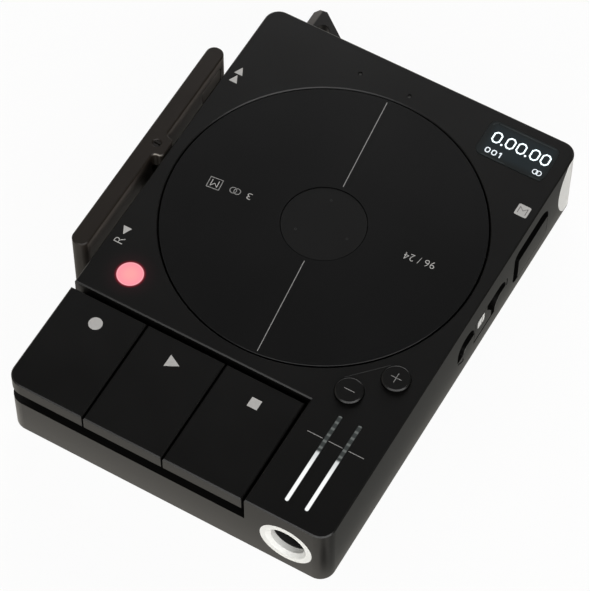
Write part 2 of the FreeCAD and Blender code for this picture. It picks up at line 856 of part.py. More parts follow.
def make_reel():
    """Disc, hub, cap and the motor that turns them."""
    reel_bottom = body_height - reel_thickness
    cap_floor = body_height - hub_cap_thickness - hub_cap_recess
    hub_top = reel_bottom + hub_height
    hub_bottom = well_top + reel_gap / 2
    reel_radius = well_radius - reel_gap
    disc = turned("reel_disc", [
        (shaft_radius, hub_top), (hub_radius, hub_top), (hub_radius, reel_bottom),
        (reel_radius - reel_edge_break, reel_bottom), (reel_radius, reel_bottom + reel_edge_break),
        (reel_radius, body_height - reel_edge_break), (reel_radius - reel_edge_break, body_height),
        (hub_cap_radius + seam, body_height), (hub_cap_radius + seam, cap_floor), (shaft_radius, cap_floor)])
    cap = turned("hub_cap", [
        (zero, cap_floor), (hub_cap_radius, cap_floor),
        (hub_cap_radius, body_height - hub_cap_recess - hub_cap_recess),
        (hub_cap_radius - hub_cap_recess, body_height - hub_cap_recess), (zero, body_height - hub_cap_recess)])
    hub = tube("reel_hub", shaft_radius, hub_radius, hub_bottom, hub_top)
    sleeve_top = well_top - seam
    sleeve_bottom = sleeve_top - sleeve_length
    rotor_top = cavity_top - sleeve_flange_thickness - air
    cup_floor = sleeve_bottom - air
    rotor_bottom = cup_floor - rotor_base
    shaft = tube("motor_shaft", zero, shaft_radius, rotor_bottom, cap_floor)
    sleeve = turned("bearing_sleeve", [
        (bearing_radius, sleeve_bottom), (sleeve_radius, sleeve_bottom),
        (sleeve_radius, cavity_top - sleeve_flange_thickness),
        (sleeve_flange_radius, cavity_top - sleeve_flange_thickness), (sleeve_flange_radius, cavity_top),
        (sleeve_radius, cavity_top), (sleeve_radius, sleeve_top), (bearing_radius, sleeve_top)])
    bore = shaft_radius + running_fit
    upper = tube("upper_bearing", bore, bearing_radius, sleeve_top - bearing_height, sleeve_top)
    lower = tube("lower_bearing", bore, bearing_radius, sleeve_bottom, sleeve_bottom + bearing_height)
    stator_top = cavity_top - sleeve_flange_thickness
    stator = tube("stator", sleeve_radius, stator_radius, stator_top - stator_height, stator_top)
    magnet_inner = stator_radius + air_gap
    magnet_outer = magnet_inner + magnet_thickness
    cup = turned("rotor_cup", [
        (shaft_radius, rotor_bottom), (magnet_outer + rotor_wall, rotor_bottom),
        (magnet_outer + rotor_wall, rotor_top), (magnet_outer, rotor_top), (magnet_outer, cup_floor),
        (shaft_radius, cup_floor)])
    magnet = tube("rotor_magnet", magnet_inner, magnet_outer, cup_floor, rotor_top)
    pieces = [disc, cap, hub, shaft, sleeve, upper, lower, stator, cup, magnet]
    for piece in pieces:
        place(piece, zero, reel_y)
    return pieces


def make_key(name, index):
    """One flat key with two hinge ears, a stem for its switch and a torsion spring on the rod."""
    left, right = key_span(index)
    body = new_body(name)
    top = new_sketch(body, "XY", key_under)
    front = -half_length
    front_left = corner_radius if index == 0 else None
    add_square_path(top, [(left, front), (right, front), (right, key_rear), (left, key_rear)],
                    [front_left, None, None, None])
    pad(body, top, key_thickness)
    break_edges(body, at_level(key_top), edge_break)
    ear_start = post_width / 2 + key_gap + ear_clearance
    outer_ear = post_width + ear_clearance * 2
    first = left + (outer_ear if index == 0 else ear_start)
    last = right - (outer_ear if index == 2 else ear_start)
    for start in (first, last - ear_width):
        ear = new_sketch(body, "YZ", start)
        ear_half = rod_radius * 2
        add_box_outline(ear, rod_y - ear_half, rod_y + ear_half, rod_z - ear_half, key_under + seam)
        pad(body, ear, ear_width)
    hole = new_sketch(body, "YZ", right)
    add_circle(hole, rod_y, rod_z, rod_radius + running_fit * 2)
    pocket(body, hole, key_width)
    add_posts(body, [switch_spot(index)], stem_radius, key_under - stem_length, key_under + seam)
    spring = make_key_spring(f"{name}_spring", first + ear_width + ear_clearance)
    return [body, spring]


def make_key_spring(name, start):
    """A torsion spring on the keys' rod: a plain sleeve with one leg under the key and one above the shelf."""
    inner = rod_radius + ear_clearance / 2
    outer = inner + coil_wire
    body = new_body(name)
    coil = new_sketch(body, "YZ", start)
    add_circle(coil, rod_y, rod_z, outer)
    pad(body, coil, coil_width)
    for end, level in ((start, rod_z + outer - coil_wire), (start + coil_width - coil_wire, rod_z - outer)):
        leg = new_sketch(body, "YZ", end)
        top = key_under - seam if end is start else level + coil_wire
        add_box_outline(leg, rod_y - spring_leg, rod_y, level, top)
        pad(body, leg, coil_wire)
    bore = new_sketch(body, "YZ", start + coil_width)
    add_circle(bore, rod_y, rod_z, inner)
    pocket(body, bore, coil_width)
    return body


def make_key_parts():
    """Keys, their rod, their switches and the board under the shelf."""
    pieces = []
    for index, name in enumerate(("record_key", "play_key", "stop_key")):
        pieces += make_key(name, index)
    rod = turned("key_rod", [(zero, zero), (rod_radius, zero), (rod_radius, rod_end() - rod_start()),
                             (zero, rod_end() - rod_start())])
    turn(rod, (0, 1, 0), 90)
    place(rod, rod_start(), rod_y, rod_z)
    board = plate("key_board", boss_inset * 2 - half_width, key_span(2)[1] - air * 2,
                  rod_y - stem_setback - switch_radius * 2, rod_y, shelf_under - board_thickness, shelf_under)
    switches = []
    for index in range(3):
        switch = turned(f"key_switch_{index}", [
            (zero, shelf_under), (switch_radius, shelf_under), (switch_radius, shelf_height - air),
            (stem_radius, shelf_height - air), (stem_radius, shelf_under + switch_height),
            (zero, shelf_under + switch_height)])
        place(switch, *switch_spot(index))
        switches.append(switch)
    return pieces + [rod, board, group("key_switches", switches)]


def rod_start():
    """Left end of the keys' rod."""
    return post_spans()[0][0] + seam


def rod_end():
    """Right end of the keys' rod."""
    return post_spans()[3][1] - seam


def make_lever():
    """The long side lever with its knuckle, the pin with a slotted head, and the centring spring."""
    body = new_body("rocker_lever")
    outline = new_sketch(body, "XY", lever_foot_gap)
    front = pivot_y - lever_front_reach
    rear = pivot_y + lever_rear_reach
    tip = knuckle_gap * -1 - half_width
    low = pivot_y - knuckle_width / 2
    high = pivot_y + knuckle_width / 2
    corners = [(lever_outer_x, front), (lever_inner_x, front), (lever_inner_x, low), (tip, low),
               (tip, high), (lever_inner_x, high), (lever_inner_x, rear), (lever_outer_x, rear)]
    end = lever_round
    add_square_path(outline, corners, [end, end, knuckle_fillet, knuckle_round, knuckle_round, knuckle_fillet,
                                       end, end])
    pad(body, outline, lever_top - lever_foot_gap)
    slot_bottom = lug_bottom - lug_clearance
    slot_top = lug_bottom + lug_height + lug_clearance * 2 + rocker_spring_height
    slot_half = lug_width / 2 + lug_clearance * 3
    lug_tip = pivot_x - pin_radius - lug_margin
    cut_box(body, lug_tip - lug_clearance, wall - half_width, pivot_y - slot_half, pivot_y + slot_half,
            slot_bottom, slot_top)
    cut_round(body, [(pivot_x, pivot_y)], pin_radius, pin_bottom(), lever_top)
    cut_round(body, [(pivot_x, pivot_y)], pin_head_radius, lever_top - pin_head_height, lever_top)
    break_edges(body, at_level(lever_top), edge_break)
    recess = new_sketch(body, "YZ", lever_inner_x)
    add_box_outline(recess, pocket_y - pocket_length / 2, pocket_y + pocket_length / 2,
                    pocket_bottom, pocket_bottom + pocket_height, side_round / 2)
    pocket(body, recess, pocket_depth)
    pin = turned("rocker_pin", [
        (zero, pin_bottom()), (pin_radius, pin_bottom()), (pin_radius, lever_top - pin_head_height),
        (pin_head_radius, lever_top - pin_head_height), (pin_head_radius, lever_top - pin_head_sink),
        (zero, lever_top - pin_head_sink)])
    slot = new_sketch(pin, "XY", lever_top - pin_head_sink)
    add_box_outline(slot, -pin_head_radius - seam, pin_head_radius + seam, -pin_slot_width / 2,
                    pin_slot_width / 2)
    pocket(pin, slot, pin_slot_depth)
    place(pin, pivot_x, pivot_y)
    spring_bottom = lug_bottom + lug_height + lug_clearance
    spring = tube("rocker_spring", pin_radius + seam, pin_radius + seam + coil_wire, spring_bottom,
                  spring_bottom + rocker_spring_height)
    place(spring, pivot_x, pivot_y)
    return [body, pin, spring]


def pin_bottom():
    """Lower end of the lever's pin, in the lever's lower half."""
    return lever_foot_gap + pin_head_height


def make_volume_parts():
    """Two round buttons held under the deck by their flanges, and a dome switch under each."""
    pieces = []
    domes = []
    flange_top = deck_under - air
    flange_bottom = flange_top - volume_flange_thickness
    dome_top = flange_bottom - volume_travel - seam
    for name, (x, y) in volume_spots.items():
        crown = body_height + volume_rise
        flange = volume_radius + volume_flange
        button = turned(f"{name}_button", [
            (zero, flange_bottom), (flange, flange_bottom), (flange, flange_top), (volume_radius, flange_top),
            (volume_radius, crown - edge_break), (volume_radius - edge_break, crown), (zero, crown)])
        pieces.append(place(button, x, y))
        base = flange + air - seam
        dome = turned(f"{name}_dome", [
            (zero, cavity_top + seam), (base, cavity_top + seam), (base, cavity_top + board_thickness),
            (stem_radius, cavity_top + board_thickness), (stem_radius, dome_top), (zero, dome_top)])
        domes.append(place(dome, x, y))
    return pieces + [group("volume_switches", domes)]


def make_deck_fittings():
    """Record lamp, level meters, display and microphones."""
    flange = lamp_radius + volume_flange
    flange_bottom = deck_under - volume_flange_thickness
    lamp = turned("record_lamp", [
        (zero, flange_bottom), (flange, flange_bottom), (flange, deck_under), (lamp_radius, deck_under),
        (lamp_radius, body_height), (zero, body_height)])
    place(lamp, lamp_x, lamp_y)
    lamp_board = tube("lamp_board", zero, flange + air - seam, flange_bottom - air - board_thickness,
                      flange_bottom - air)
    place(lamp_board, lamp_x, lamp_y)
    pieces = [lamp, lamp_board]
    foot = meter_width
    foot_bottom = deck_under - board_thickness
    for name, x in (("left_meter", meter_left_x), ("right_meter", meter_right_x)):
        body = plate(f"{name}_light_bar", x - meter_width / 2, x + meter_width / 2, meter_start,
                     meter_start + meter_length, foot_bottom, body_height)
        base = new_sketch(body, "XY", foot_bottom)
        add_box_outline(base, x - foot, x + foot, meter_start - seam * 4, meter_start + meter_length + seam * 4)
        pad(body, base, board_thickness)
        pieces.append(body)
    board = plate("meter_board", meter_left_x - meter_pitch / 2, meter_right_x + meter_pitch / 2,
                  meter_start - air * 2, meter_start + meter_length + air * 2, foot_bottom - board_thickness,
                  foot_bottom)
    half_x = window_width / 2
    half_y = window_depth / 2
    seat = body_height + window_rise - window_thickness
    window = plate("display_window", window_x - half_x, window_x + half_x, window_y - half_y, window_y + half_y,
                   seat, seat + window_thickness, window_round)
    module_half_x = half_x - window_lip - seam
    module_half_y = half_y - window_lip - seam
    display = plate("display_module", window_x - module_half_x, window_x + module_half_x,
                    window_y - module_half_y, window_y + module_half_y, deck_under - deck_thickness,
                    seat - seam, window_round - window_lip)
    microphones = []
    for index, x in enumerate((microphone_left_x, microphone_right_x)):
        capsule = tube(f"microphone_{index}", zero, microphone_radius, deck_under - seam - deck_thickness,
                       deck_under - seam)
        microphones.append(place(capsule, x, microphone_y + microphone_radius - microphone_hole))
    return pieces + [board, window, display, group("microphones", microphones)]


def make_side_parts():
    """Memo button with its switch, and the sliding tab with its switch body."""
    front = memo_rear - memo_length
    memo = new_body("memo_button")
    inner_face = side_face - wall - air
    plate_face = new_sketch(memo, "YZ", inner_face - seam)
    add_box_outline(plate_face, front + memo_slit, memo_rear - hairline, memo_bottom + hairline,
                    memo_bottom + memo_height - memo_notch, side_round / 2)
    pad(memo, plate_face, wall + air + seam)
    flange = new_sketch(memo, "YZ", inner_face - flange_thickness)
    add_box_outline(flange, front - flange_margin, memo_rear + flange_margin, memo_bottom - flange_margin,
                    cavity_top - air)
    pad(memo, flange, flange_thickness)
    switch_face = inner_face - flange_thickness - memo_travel - seam * 2
    memo_switch = plate("memo_switch", switch_face - memo_switch_size, switch_face,
                        memo_rear - memo_length * 0.7, memo_rear - memo_length * 0.3, board_top,
                        board_top + memo_switch_size)
    body_face = side_face - side_depth - air
    channel_rear = channel_front + channel_length
    stem_low = (slider_bottom + slider_top) / 2 - stem_radius
    stem_high = stem_low + stem_radius * 2
    stem_back = body_face - flange_thickness
    holder = plate("side_switch_body", stem_back - memo_switch_size / 2, body_face, slider_front - flange_margin / 2,
                   slider_front + slider_length + flange_margin / 2, board_top, cavity_top - seam)
    slot = new_sketch(holder, "YZ", body_face)
    add_box_outline(slot, channel_front, channel_rear, stem_low - air, stem_high + air)
    pocket(holder, slot, flange_thickness + air)
    tab = new_body("side_switch")
    face = new_sketch(tab, "YZ", side_face - side_depth + air / 2)
    add_box_outline(face, channel_front + hairline, channel_front + tab_length, slider_bottom + tab_foot_gap,
                    slider_top - hairline, side_round / 3)
    pad(tab, face, side_depth - air / 2)
    notch = new_sketch(tab, "YZ", side_face)
    tab_rear = channel_front + tab_length
    notch_front = tab_rear - tab_notch_length
    add_polygon(notch, [
        (notch_front, tab_notch_bottom + tab_notch_rise), (notch_front, slider_top),
        (tab_rear + seam, slider_top), (tab_rear + seam, tab_notch_bottom), (tab_rear, tab_notch_bottom)])
    pocket(tab, notch, tab_notch_depth)
    stem = new_sketch(tab, "YZ", stem_back)
    add_box_outline(stem, channel_front + stem_radius, channel_front + tab_length - stem_radius / 2, stem_low,
                    stem_high)
    pad(tab, stem, flange_thickness + air * 2)
    return [memo, memo_switch, holder, tab]


def make_sockets():
    """Large front socket with its white ring, three small rear sockets and the data socket."""
    mouth = ring_bore + ring_bevel
    ring = turned("headphone_ring", [
        (ring_bore, zero), (ring_radius, zero), (ring_radius, wall), (mouth, wall),
        (ring_bore, wall - ring_bevel)])
    turn(ring, (1, 0, 0), 90)
    place(ring, plug_x, wall - half_length, plug_z)
    socket = turned("headphone_socket", [
        (zero, zero), (plug_barrel, zero), (plug_barrel, plug_length), (plug_radius, plug_length),
        (plug_radius, plug_blind), (zero, plug_blind)])
    turn(socket, (1, 0, 0), 90)
    place(socket, plug_x, wall + plug_length - half_length, plug_z)
    pieces = [ring, socket]
    depth = line_length - wall
    for index, x in enumerate(line_spots):
        line = turned(f"line_socket_{index + 1}", [
            (zero, zero), (line_barrel, zero), (line_barrel, depth), (line_nose, depth),
            (line_nose, line_length), (line_radius, line_length), (line_radius, wall), (zero, wall)])
        turn(line, (1, 0, 0), -90)
        pieces.append(place(line, x, half_length - line_length, line_z))
    usb = new_body("usb_socket")
    shell = new_sketch(usb, "XZ", -half_length)
    half_x = usb_width / 2
    half_z = usb_height / 2
    add_box_outline(shell, usb_x - half_x, usb_x + half_x, usb_z - half_z, usb_z + half_z, half_z - seam)
    pad(usb, shell, usb_length)
    mouth = new_sketch(usb, "XZ", -half_length)
    inner_half_x = half_x - usb_skin
    inner_half_z = half_z - usb_skin
    add_box_outline(mouth, usb_x - inner_half_x, usb_x + inner_half_x, usb_z - inner_half_z,
                    usb_z + inner_half_z, inner_half_z - seam)
    pocket(usb, mouth, usb_length - usb_skin * 2, reverse=True)
    tongue = new_sketch(usb, "XZ", usb_skin * 2 - half_length)
    add_box_outline(tongue, usb_x - inner_half_x * 0.8, usb_x + inner_half_x * 0.8,
                    usb_z - usb_tongue / 2, usb_z + usb_tongue / 2)
    pad(usb, tongue, usb_length - usb_skin * 3)
    return pieces + [usb]


def make_strap_lug():
    """A flat rounded lug that passes through the rear wall and is held by a plate behind it."""
    body = new_body("strap_lug")
    right = strap_left_x + strap_width
    tip = half_length + strap_reach
    root = inner_y - air
    outline = new_sketch(body, "XY", strap_bottom)
    add_polygon(outline, [
        (strap_left_x, root), (right, root), (right, half_length + strap_nose / 2),
        (strap_left_x + strap_nose * 1.2, tip), (strap_left_x + strap_nose * 0.4, tip - strap_nose * 0.1),
        (strap_left_x, tip - strap_nose * 0.7)])
    pad(body, outline, strap_thickness)
    flange = new_sketch(body, "XY", strap_bottom - flange_margin)
    add_box_outline(flange, strap_left_x - flange_margin, right + flange_margin, root - flange_thickness, root)
    pad(body, flange, strap_thickness + flange_margin - seam * 2)
    cut_round(body, [(strap_left_x + strap_width * 0.35, half_length + strap_reach * 0.42)], strap_hole,
              strap_bottom, strap_bottom + strap_thickness)
    return [body]


def make_inside():
    """Boards, battery and speaker."""
    edge = board_edge
    main_board = plate("main_board", -edge, edge, board_front, board_split_y, board_level, board_top,
                       side_round)
    socket_board = plate("socket_board", speaker_x + speaker_width / 2 + air * 4, edge,
                         board_split_y + air * 2, inner_y - flange_thickness, board_level, board_top,
                         side_round)
    battery_left = boss_inset * 2 - half_width
    battery_front = boss_inset * 1.2 - half_length
    battery_bottom = cover_thickness + air
    battery = plate("battery", battery_left, battery_left + battery_width, battery_front,
                    battery_front + battery_length, battery_bottom, shelf_under - board_thickness - air,
                    side_round)
    speaker = plate("speaker", speaker_x - speaker_width / 2, speaker_x + speaker_width / 2,
                    speaker_y - speaker_length / 2, speaker_y + speaker_length / 2, battery_bottom,
                    battery_bottom + speaker_height, side_round * 2)
    return [main_board, socket_board, battery, speaker]


def write_parts(pieces):
    """Checks every object and writes each piece to its own file."""
    doc.recompute()
    broken = [thing.Label for thing in doc.Objects if "Invalid" in thing.State or "Error" in thing.State]
    assert not broken, f"failed objects: {broken}"
    os.makedirs("parts", exist_ok=True)
    for piece in pieces:
        shape = piece.Shape
        assert not shape.isNull() and shape.isValid(), f"bad shape in {piece.Label}"
        assert shape.Solids, f"no solid in {piece.Label}"
        shape.exportStep(f"parts/{piece.Label}.step")
        print(f"{piece.Label}: {len(shape.Solids)} solid(s), {shape.Volume:.1f} mm3")


write_parts(
    make_housing()
    + make_bottom_cover()
    + make_cover_screws()
    + make_reel()
    + make_key_parts()
    + make_lever()
    + make_volume_parts()
    + make_deck_fittings()
    + make_side_parts()
    + make_sockets()
    + make_strap_lug()
    + make_inside()
)
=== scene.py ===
"""Looks of a pocket field recorder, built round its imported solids.

The solids keep their places; this script gives each of them a finish, adds the prints,
the lit symbols and the small fittings that sit on them, and sets up the studio.
"""

import json
import logging
import math
from collections.abc import Mapping, Sequence
from dataclasses import dataclass, field, replace
from enum import Enum
from typing import Any

import bmesh
import bpy
from mathutils import Matrix, Vector


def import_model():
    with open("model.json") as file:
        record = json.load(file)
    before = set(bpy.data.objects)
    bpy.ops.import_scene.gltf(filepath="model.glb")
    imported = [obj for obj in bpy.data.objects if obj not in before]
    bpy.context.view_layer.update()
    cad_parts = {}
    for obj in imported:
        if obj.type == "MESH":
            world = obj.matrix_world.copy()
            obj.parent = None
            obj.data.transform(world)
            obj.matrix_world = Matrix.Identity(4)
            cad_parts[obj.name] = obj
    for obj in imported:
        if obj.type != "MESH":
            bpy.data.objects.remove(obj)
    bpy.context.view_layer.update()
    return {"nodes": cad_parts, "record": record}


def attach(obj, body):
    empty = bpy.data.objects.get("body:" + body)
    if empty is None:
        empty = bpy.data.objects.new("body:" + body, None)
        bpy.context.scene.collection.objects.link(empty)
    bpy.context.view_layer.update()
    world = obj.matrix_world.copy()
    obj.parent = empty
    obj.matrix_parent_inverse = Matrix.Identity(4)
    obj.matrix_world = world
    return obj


log = logging.getLogger("recorder")

MM = 0.001

Colour = tuple[float, float, float]
Spot = tuple[float, float, float]
Pair = tuple[float, float]

# Places on the recorder that more than one class goes by, in millimetres.
DECK = 16.4
WALL = 34.0
LAMP_SPOT = (-25.8, -18.4)
LAMP_RADIUS = 2.75
MINUS_SPOT = (22.1, -20.0)
PLUS_SPOT = (28.3, -13.5)

NOTHING = (0.0, 0.0, 0.0)


class Body(Enum):
    """The moving bodies that a piece can ride on."""

    CASE = "case"
    REEL = "reel"
    RECORD = "record"
    PLAY = "play"
    STOP = "stop"
    MINUS = "minus"
    PLUS = "plus"
    TAB = "side_tab"
    ROCKER = "rocker"


class Slot(Enum):
    """The record's material slots, which a printer holds but does not read."""

    CASE = "case"
    WHITE = "white_plastic"
    STEEL = "dark_steel"
    BLACK = "black_plastic"
    SCREEN = "display_glass"


def srgb(red: float, green: float, blue: float) -> Colour:
    """Turn a screen colour into the linear values that a shader takes.

    Args:
        red: Red from 0 to 255.
        green: Green from 0 to 255.
        blue: Blue from 0 to 255.

    Returns:
        The linear colour.
    """
    parts = (red / 255, green / 255, blue / 255)
    return tuple(p / 12.92 if p <= 0.04045 else ((p + 0.055) / 1.055) ** 2.4 for p in parts)


# --------------------------------------------------------------------------- shader maths


@dataclass(frozen=True)
class Signal:
    """One socket of a shader, with the arithmetic that shader maths needs."""

    kit: "Nodes"
    socket: bpy.types.NodeSocket

    def _math(self, operation: str, *terms: "Signal | float") -> "Signal":
        """Add one Math node over terms."""
        return self.kit.math(operation, *terms)

    def __add__(self, other: "Signal | float") -> "Signal":
        """Add."""
        return self._math("ADD", self, other)

    __radd__ = __add__

    def __sub__(self, other: "Signal | float") -> "Signal":
        """Subtract other."""
        return self._math("SUBTRACT", self, other)

    def __rsub__(self, other: float) -> "Signal":
        """Subtract this from other."""
        return self._math("SUBTRACT", other, self)

    def __mul__(self, other: "Signal | float") -> "Signal":
        """Multiply."""
        return self._math("MULTIPLY", self, other)

    __rmul__ = __mul__

    def __abs__(self) -> "Signal":
        """Drop the sign."""
        return self._math("ABSOLUTE", self)

    def sine(self) -> "Signal":
        """Sine of this, in radians."""
        return self._math("SINE", self)

    def fade(self, start: float, end: float) -> "Signal":
        """Ease from zero at start to one at end, held outside them."""
        node = self.kit.add(
            "ShaderNodeMapRange",
            {"interpolation_type": "SMOOTHSTEP"},
            {"Value": self, "From Min": start, "From Max": end},
        )
        return Signal(self.kit, node.outputs[0])


@dataclass(frozen=True)
class Place:
    """Where a point of a piece is, in millimetres of the piece's own frame."""

    vector: Signal
    x: Signal
    y: Signal
    z: Signal


@dataclass(frozen=True)
class Nodes:
    """A shader tree, with one way to add a node to it."""

    tree: bpy.types.NodeTree

    def add(
        self,
        kind: str,
        settings: Mapping[str, Any] | None = None,
        sockets: Mapping[str | int, Any] | None = None,
    ) -> bpy.types.Node:
        """Add a node.

        Args:
            kind: The node's type.
            settings: Its own settings, set before its sockets.
            sockets: A value or a Signal for each socket, by name or number.

        Returns:
            The new node.
        """
        node = self.tree.nodes.new(kind)
        for name, value in (settings or {}).items():
            setattr(node, name, value)
        for name, value in (sockets or {}).items():
            if isinstance(value, Signal):
                self.tree.links.new(value.socket, node.inputs[name])
            else:
                node.inputs[name].default_value = value
        return node

    def out(self, node: bpy.types.Node, name: str | int = 0) -> Signal:
        """One output of node, as a Signal."""
        return Signal(self, node.outputs[name])

    def math(self, operation: str, *terms: Signal | float) -> Signal:
        """A Math node over terms."""
        node = self.add("ShaderNodeMath", {"operation": operation}, dict(enumerate(terms)))
        return self.out(node)

    def larger(self, first: Signal, second: Signal | float) -> Signal:
        """The larger of two values."""
        return self.math("MAXIMUM", first, second)

    def mix(self, first: Signal | Colour, second: Signal | Colour, share: Signal) -> Signal:
        """Blend two colours.

        Args:
            first: The colour where share is zero.
            second: The colour where share is one.
            share: How far the blend goes.

        Returns:
            The blended colour.
        """
        sides = [c if isinstance(c, Signal) else (*c, 1.0) for c in (first, second)]
        node = self.add(
            "ShaderNodeMix", {"data_type": "RGBA"}, {0: share, 6: sides[0], 7: sides[1]}
        )
        return self.out(node, 2)

    def place(self) -> Place:
        """The point being shaded.

        Returns:
            The point, in millimetres of the piece's own frame.
        """
        spot = self.out(self.add("ShaderNodeTexCoord"), "Object")
        scaled = self.add(
            "ShaderNodeVectorMath", {"operation": "SCALE"}, {0: spot, "Scale": 1 / MM}
        )
        vector = self.out(scaled)
        parts = self.add("ShaderNodeSeparateXYZ", {}, {0: vector})
        return Place(vector, *(self.out(parts, axis) for axis in range(3)))

    def noise(self, vector: Signal, size: float, detail: float = 2.0) -> Signal:
        """Cloudy noise whose patches are about size millimetres wide."""
        node = self.add(
            "ShaderNodeTexNoise", {}, {"Vector": vector, "Scale": 1 / size, "Detail": detail}
        )
        return self.out(node, 0)

    def stretched(self, vector: Signal, scale: Spot) -> Signal:
        """The vector with its parts multiplied by scale."""
        node = self.add(
            "ShaderNodeVectorMath", {"operation": "MULTIPLY"}, {0: vector, 1: scale}
        )
        return self.out(node)

    def cells(self, vector: Signal, size: float) -> Signal:
        """Distance to the middle of the nearest cell of about size millimetres."""
        node = self.add("ShaderNodeTexVoronoi", {}, {"Vector": vector, "Scale": 1 / size})
        return self.out(node, "Distance")

    def distance(self, place: Place, x: float, y: float) -> Signal:
        """How far a point is from the upright line through x and y."""
        across, along = place.x - x, place.y - y
        return self.math("SQRT", across * across + along * along)

    def bump(self, height: Signal, depth: float) -> Signal:
        """A normal bent by a height that spans depth millimetres."""
        node = self.add("ShaderNodeBump", {}, {"Distance": depth * MM, "Height": height})
        return self.out(node)


# --------------------------------------------------------------------------- finishes


@dataclass(frozen=True)
class Finish:
    """A surface finish. Its fields hold all over; its methods say what varies."""

    name: str
    colour: Colour
    roughness: float = 0.5
    metallic: float = 0.0
    specular: float = 0.5
    coat: float = 0.0
    glow: float = 0.0
    mottle: float = 0.12
    mottle_size: float = 6.0
    grain_size: float = 0.25
    grain_depth: float = 0.004
    spread: float = 0.1
    coat_roughness: float = 0.1

    def material(self) -> bpy.types.Material:
        """The material of this finish, made when first asked for.

        Returns:
            The material.
        """
        found = bpy.data.materials.get(self.name)
        if found:
            return found
        made = bpy.data.materials.new(self.name)
        made.use_nodes = True
        made.node_tree.nodes.clear()
        kit = Nodes(made.node_tree)
        place = kit.place()
        cloud = kit.noise(place.vector, self.mottle_size, detail=3.0)
        grain = kit.noise(place.vector, self.grain_size)
        sockets = {
            "Base Color": self.colour_over(kit, place, cloud),
            "Roughness": self.roughness + (cloud + grain - 1.0) * self.spread,
            "Metallic": self.metallic,
            "Specular IOR Level": self.specular,
            "Coat Weight": self.coat,
            "Coat Roughness": self.coat_roughness,
            "Emission Strength": self.glow,
            "Normal": kit.bump(self.relief(kit, place, grain), self.grain_depth),
        }
        if self.glow:
            sockets["Emission Color"] = self.glow_over(kit, place, cloud)
        shader = kit.add("ShaderNodeBsdfPrincipled", {}, sockets)
        kit.add("ShaderNodeOutputMaterial", {}, {"Surface": kit.out(shader)})
        return made

    def shades(self, kit: Nodes, colour: Colour, share: Signal) -> Signal:
        """Mottle a colour.

        Args:
            kit: The shader tree.
            colour: The colour in the middle of the mottling.
            share: Zero where the colour is darkest, one where it is lightest.

        Returns:
            The mottled colour.
        """
        low = tuple(c * (1 - self.mottle) for c in colour)
        high = tuple(min(1.0, c * (1 + self.mottle)) for c in colour)
        return kit.mix(low, high, share)

    def colour_over(self, kit: Nodes, place: Place, cloud: Signal) -> Signal:
        """The base colour at each point."""
        return self.shades(kit, self.colour, cloud)

    def relief(self, kit: Nodes, place: Place, grain: Signal) -> Signal:
        """The height of the surface at each point, from zero to one."""
        return grain

    def glow_over(self, kit: Nodes, place: Place, cloud: Signal) -> Signal:
        """The colour of the light that each point gives off."""
        return self.shades(kit, self.colour, cloud)


@dataclass(frozen=True)
class Blasted(Finish):
    """Bead-blasted and dyed metal: fine even pits, with a few larger ones."""

    fine_share: float = 0.6
    large_share: float = 0.4
    large_size: float = 1.7

    def relief(self, kit: Nodes, place: Place, grain: Signal) -> Signal:
        """Pits of two sizes."""
        large = kit.cells(place.vector, self.grain_size * self.large_size)
        return grain * self.fine_share + large * self.large_share


@dataclass(frozen=True)
class LampCase(Blasted):
    """The case's own finish, with a painted glow of the red light that spills from the record lamp.
    """

    # Painted glow: the case itself gives off the lamp's red light, as a rim and a faint spill.
    rim: Colour = (0.075, 0.0, 0.006)
    rim_reach: Pair = (0.05, 0.4)
    spill: Colour = (0.007, 0.0012, 0.0022)
    spill_reach: float = 4.0
    top: Pair = (15.5, 16.3)

    def glow_over(self, kit: Nodes, place: Place, cloud: Signal) -> Signal:
        """Painted glow: a bright red rim close to the lamp and a faint spill further out.

        Args:
            kit: The shader tree.
            place: The point being shaded.
            cloud: The slow noise of the mottling, not used here.

        Returns:
            The colour of the light.
        """
        far = kit.distance(place, *LAMP_SPOT)
        close = 1.0 - far.fade(*(LAMP_RADIUS + reach for reach in self.rim_reach))
        wide = 1.0 - far.fade(LAMP_RADIUS, LAMP_RADIUS + self.spill_reach)
        on_top = place.z.fade(*self.top)
        faint = kit.mix(NOTHING, self.spill, wide * wide * on_top)
        return kit.mix(faint, self.rim, close * on_top)


@dataclass(frozen=True)
class LeverMetal(Blasted):
    """The lever's finish, with painted light on its inner wall as a warmer, lighter tone.

    The painted light stops short of the knuckle, leaving painted shade on the wall before it, and
    the knuckle's front rounding carries a painted highlight.
    """

    # Painted light: the lighter tone of the inner wall.
    inner: Colour = (0.098, 0.082, 0.071)
    # Painted highlight on the knuckle's front rounding.
    painted_glint: Colour = (0.34, 0.31, 0.27)
    wall: Pair = (-36.55, -36.45)
    below: Pair = (15.34, 16.04)
    ahead: Pair = (-2.5, 6.0)
    behind: Pair = (12.6, 13.4)
    knuckle: Pair = (-36.3, -36.1)
    knuckle_front: Pair = (7.2, 8.0)
    rounding_foot: Pair = (15.86, 15.96)
    rounding_head: Pair = (16.12, 16.18)

    def colour_over(self, kit: Nodes, place: Place, cloud: Signal) -> Signal:
        """The outer tone, painted light on the wall that faces the case, and a painted highlight.

        Args:
            kit: The shader tree.
            place: The point being shaded.
            cloud: The slow noise of the mottling.

        Returns:
            The base colour.
        """
        past = kit.larger(place.y.fade(*self.behind), 1.0 - place.y.fade(*self.ahead))
        # Painted light on the inner wall, left out before the knuckle as painted shade.
        painted_light_share = past * place.x.fade(*self.wall) * (1.0 - place.z.fade(*self.below))
        outer, inner = (self.shades(kit, tone, cloud) for tone in (self.colour, self.inner))
        # Painted highlight along the knuckle's front rounding.
        rounding = place.z.fade(*self.rounding_foot) * (1.0 - place.z.fade(*self.rounding_head))
        front = place.x.fade(*self.knuckle) * (1.0 - place.y.fade(*self.knuckle_front))
        return kit.mix(kit.mix(outer, inner, painted_light_share), self.painted_glint, front * rounding)


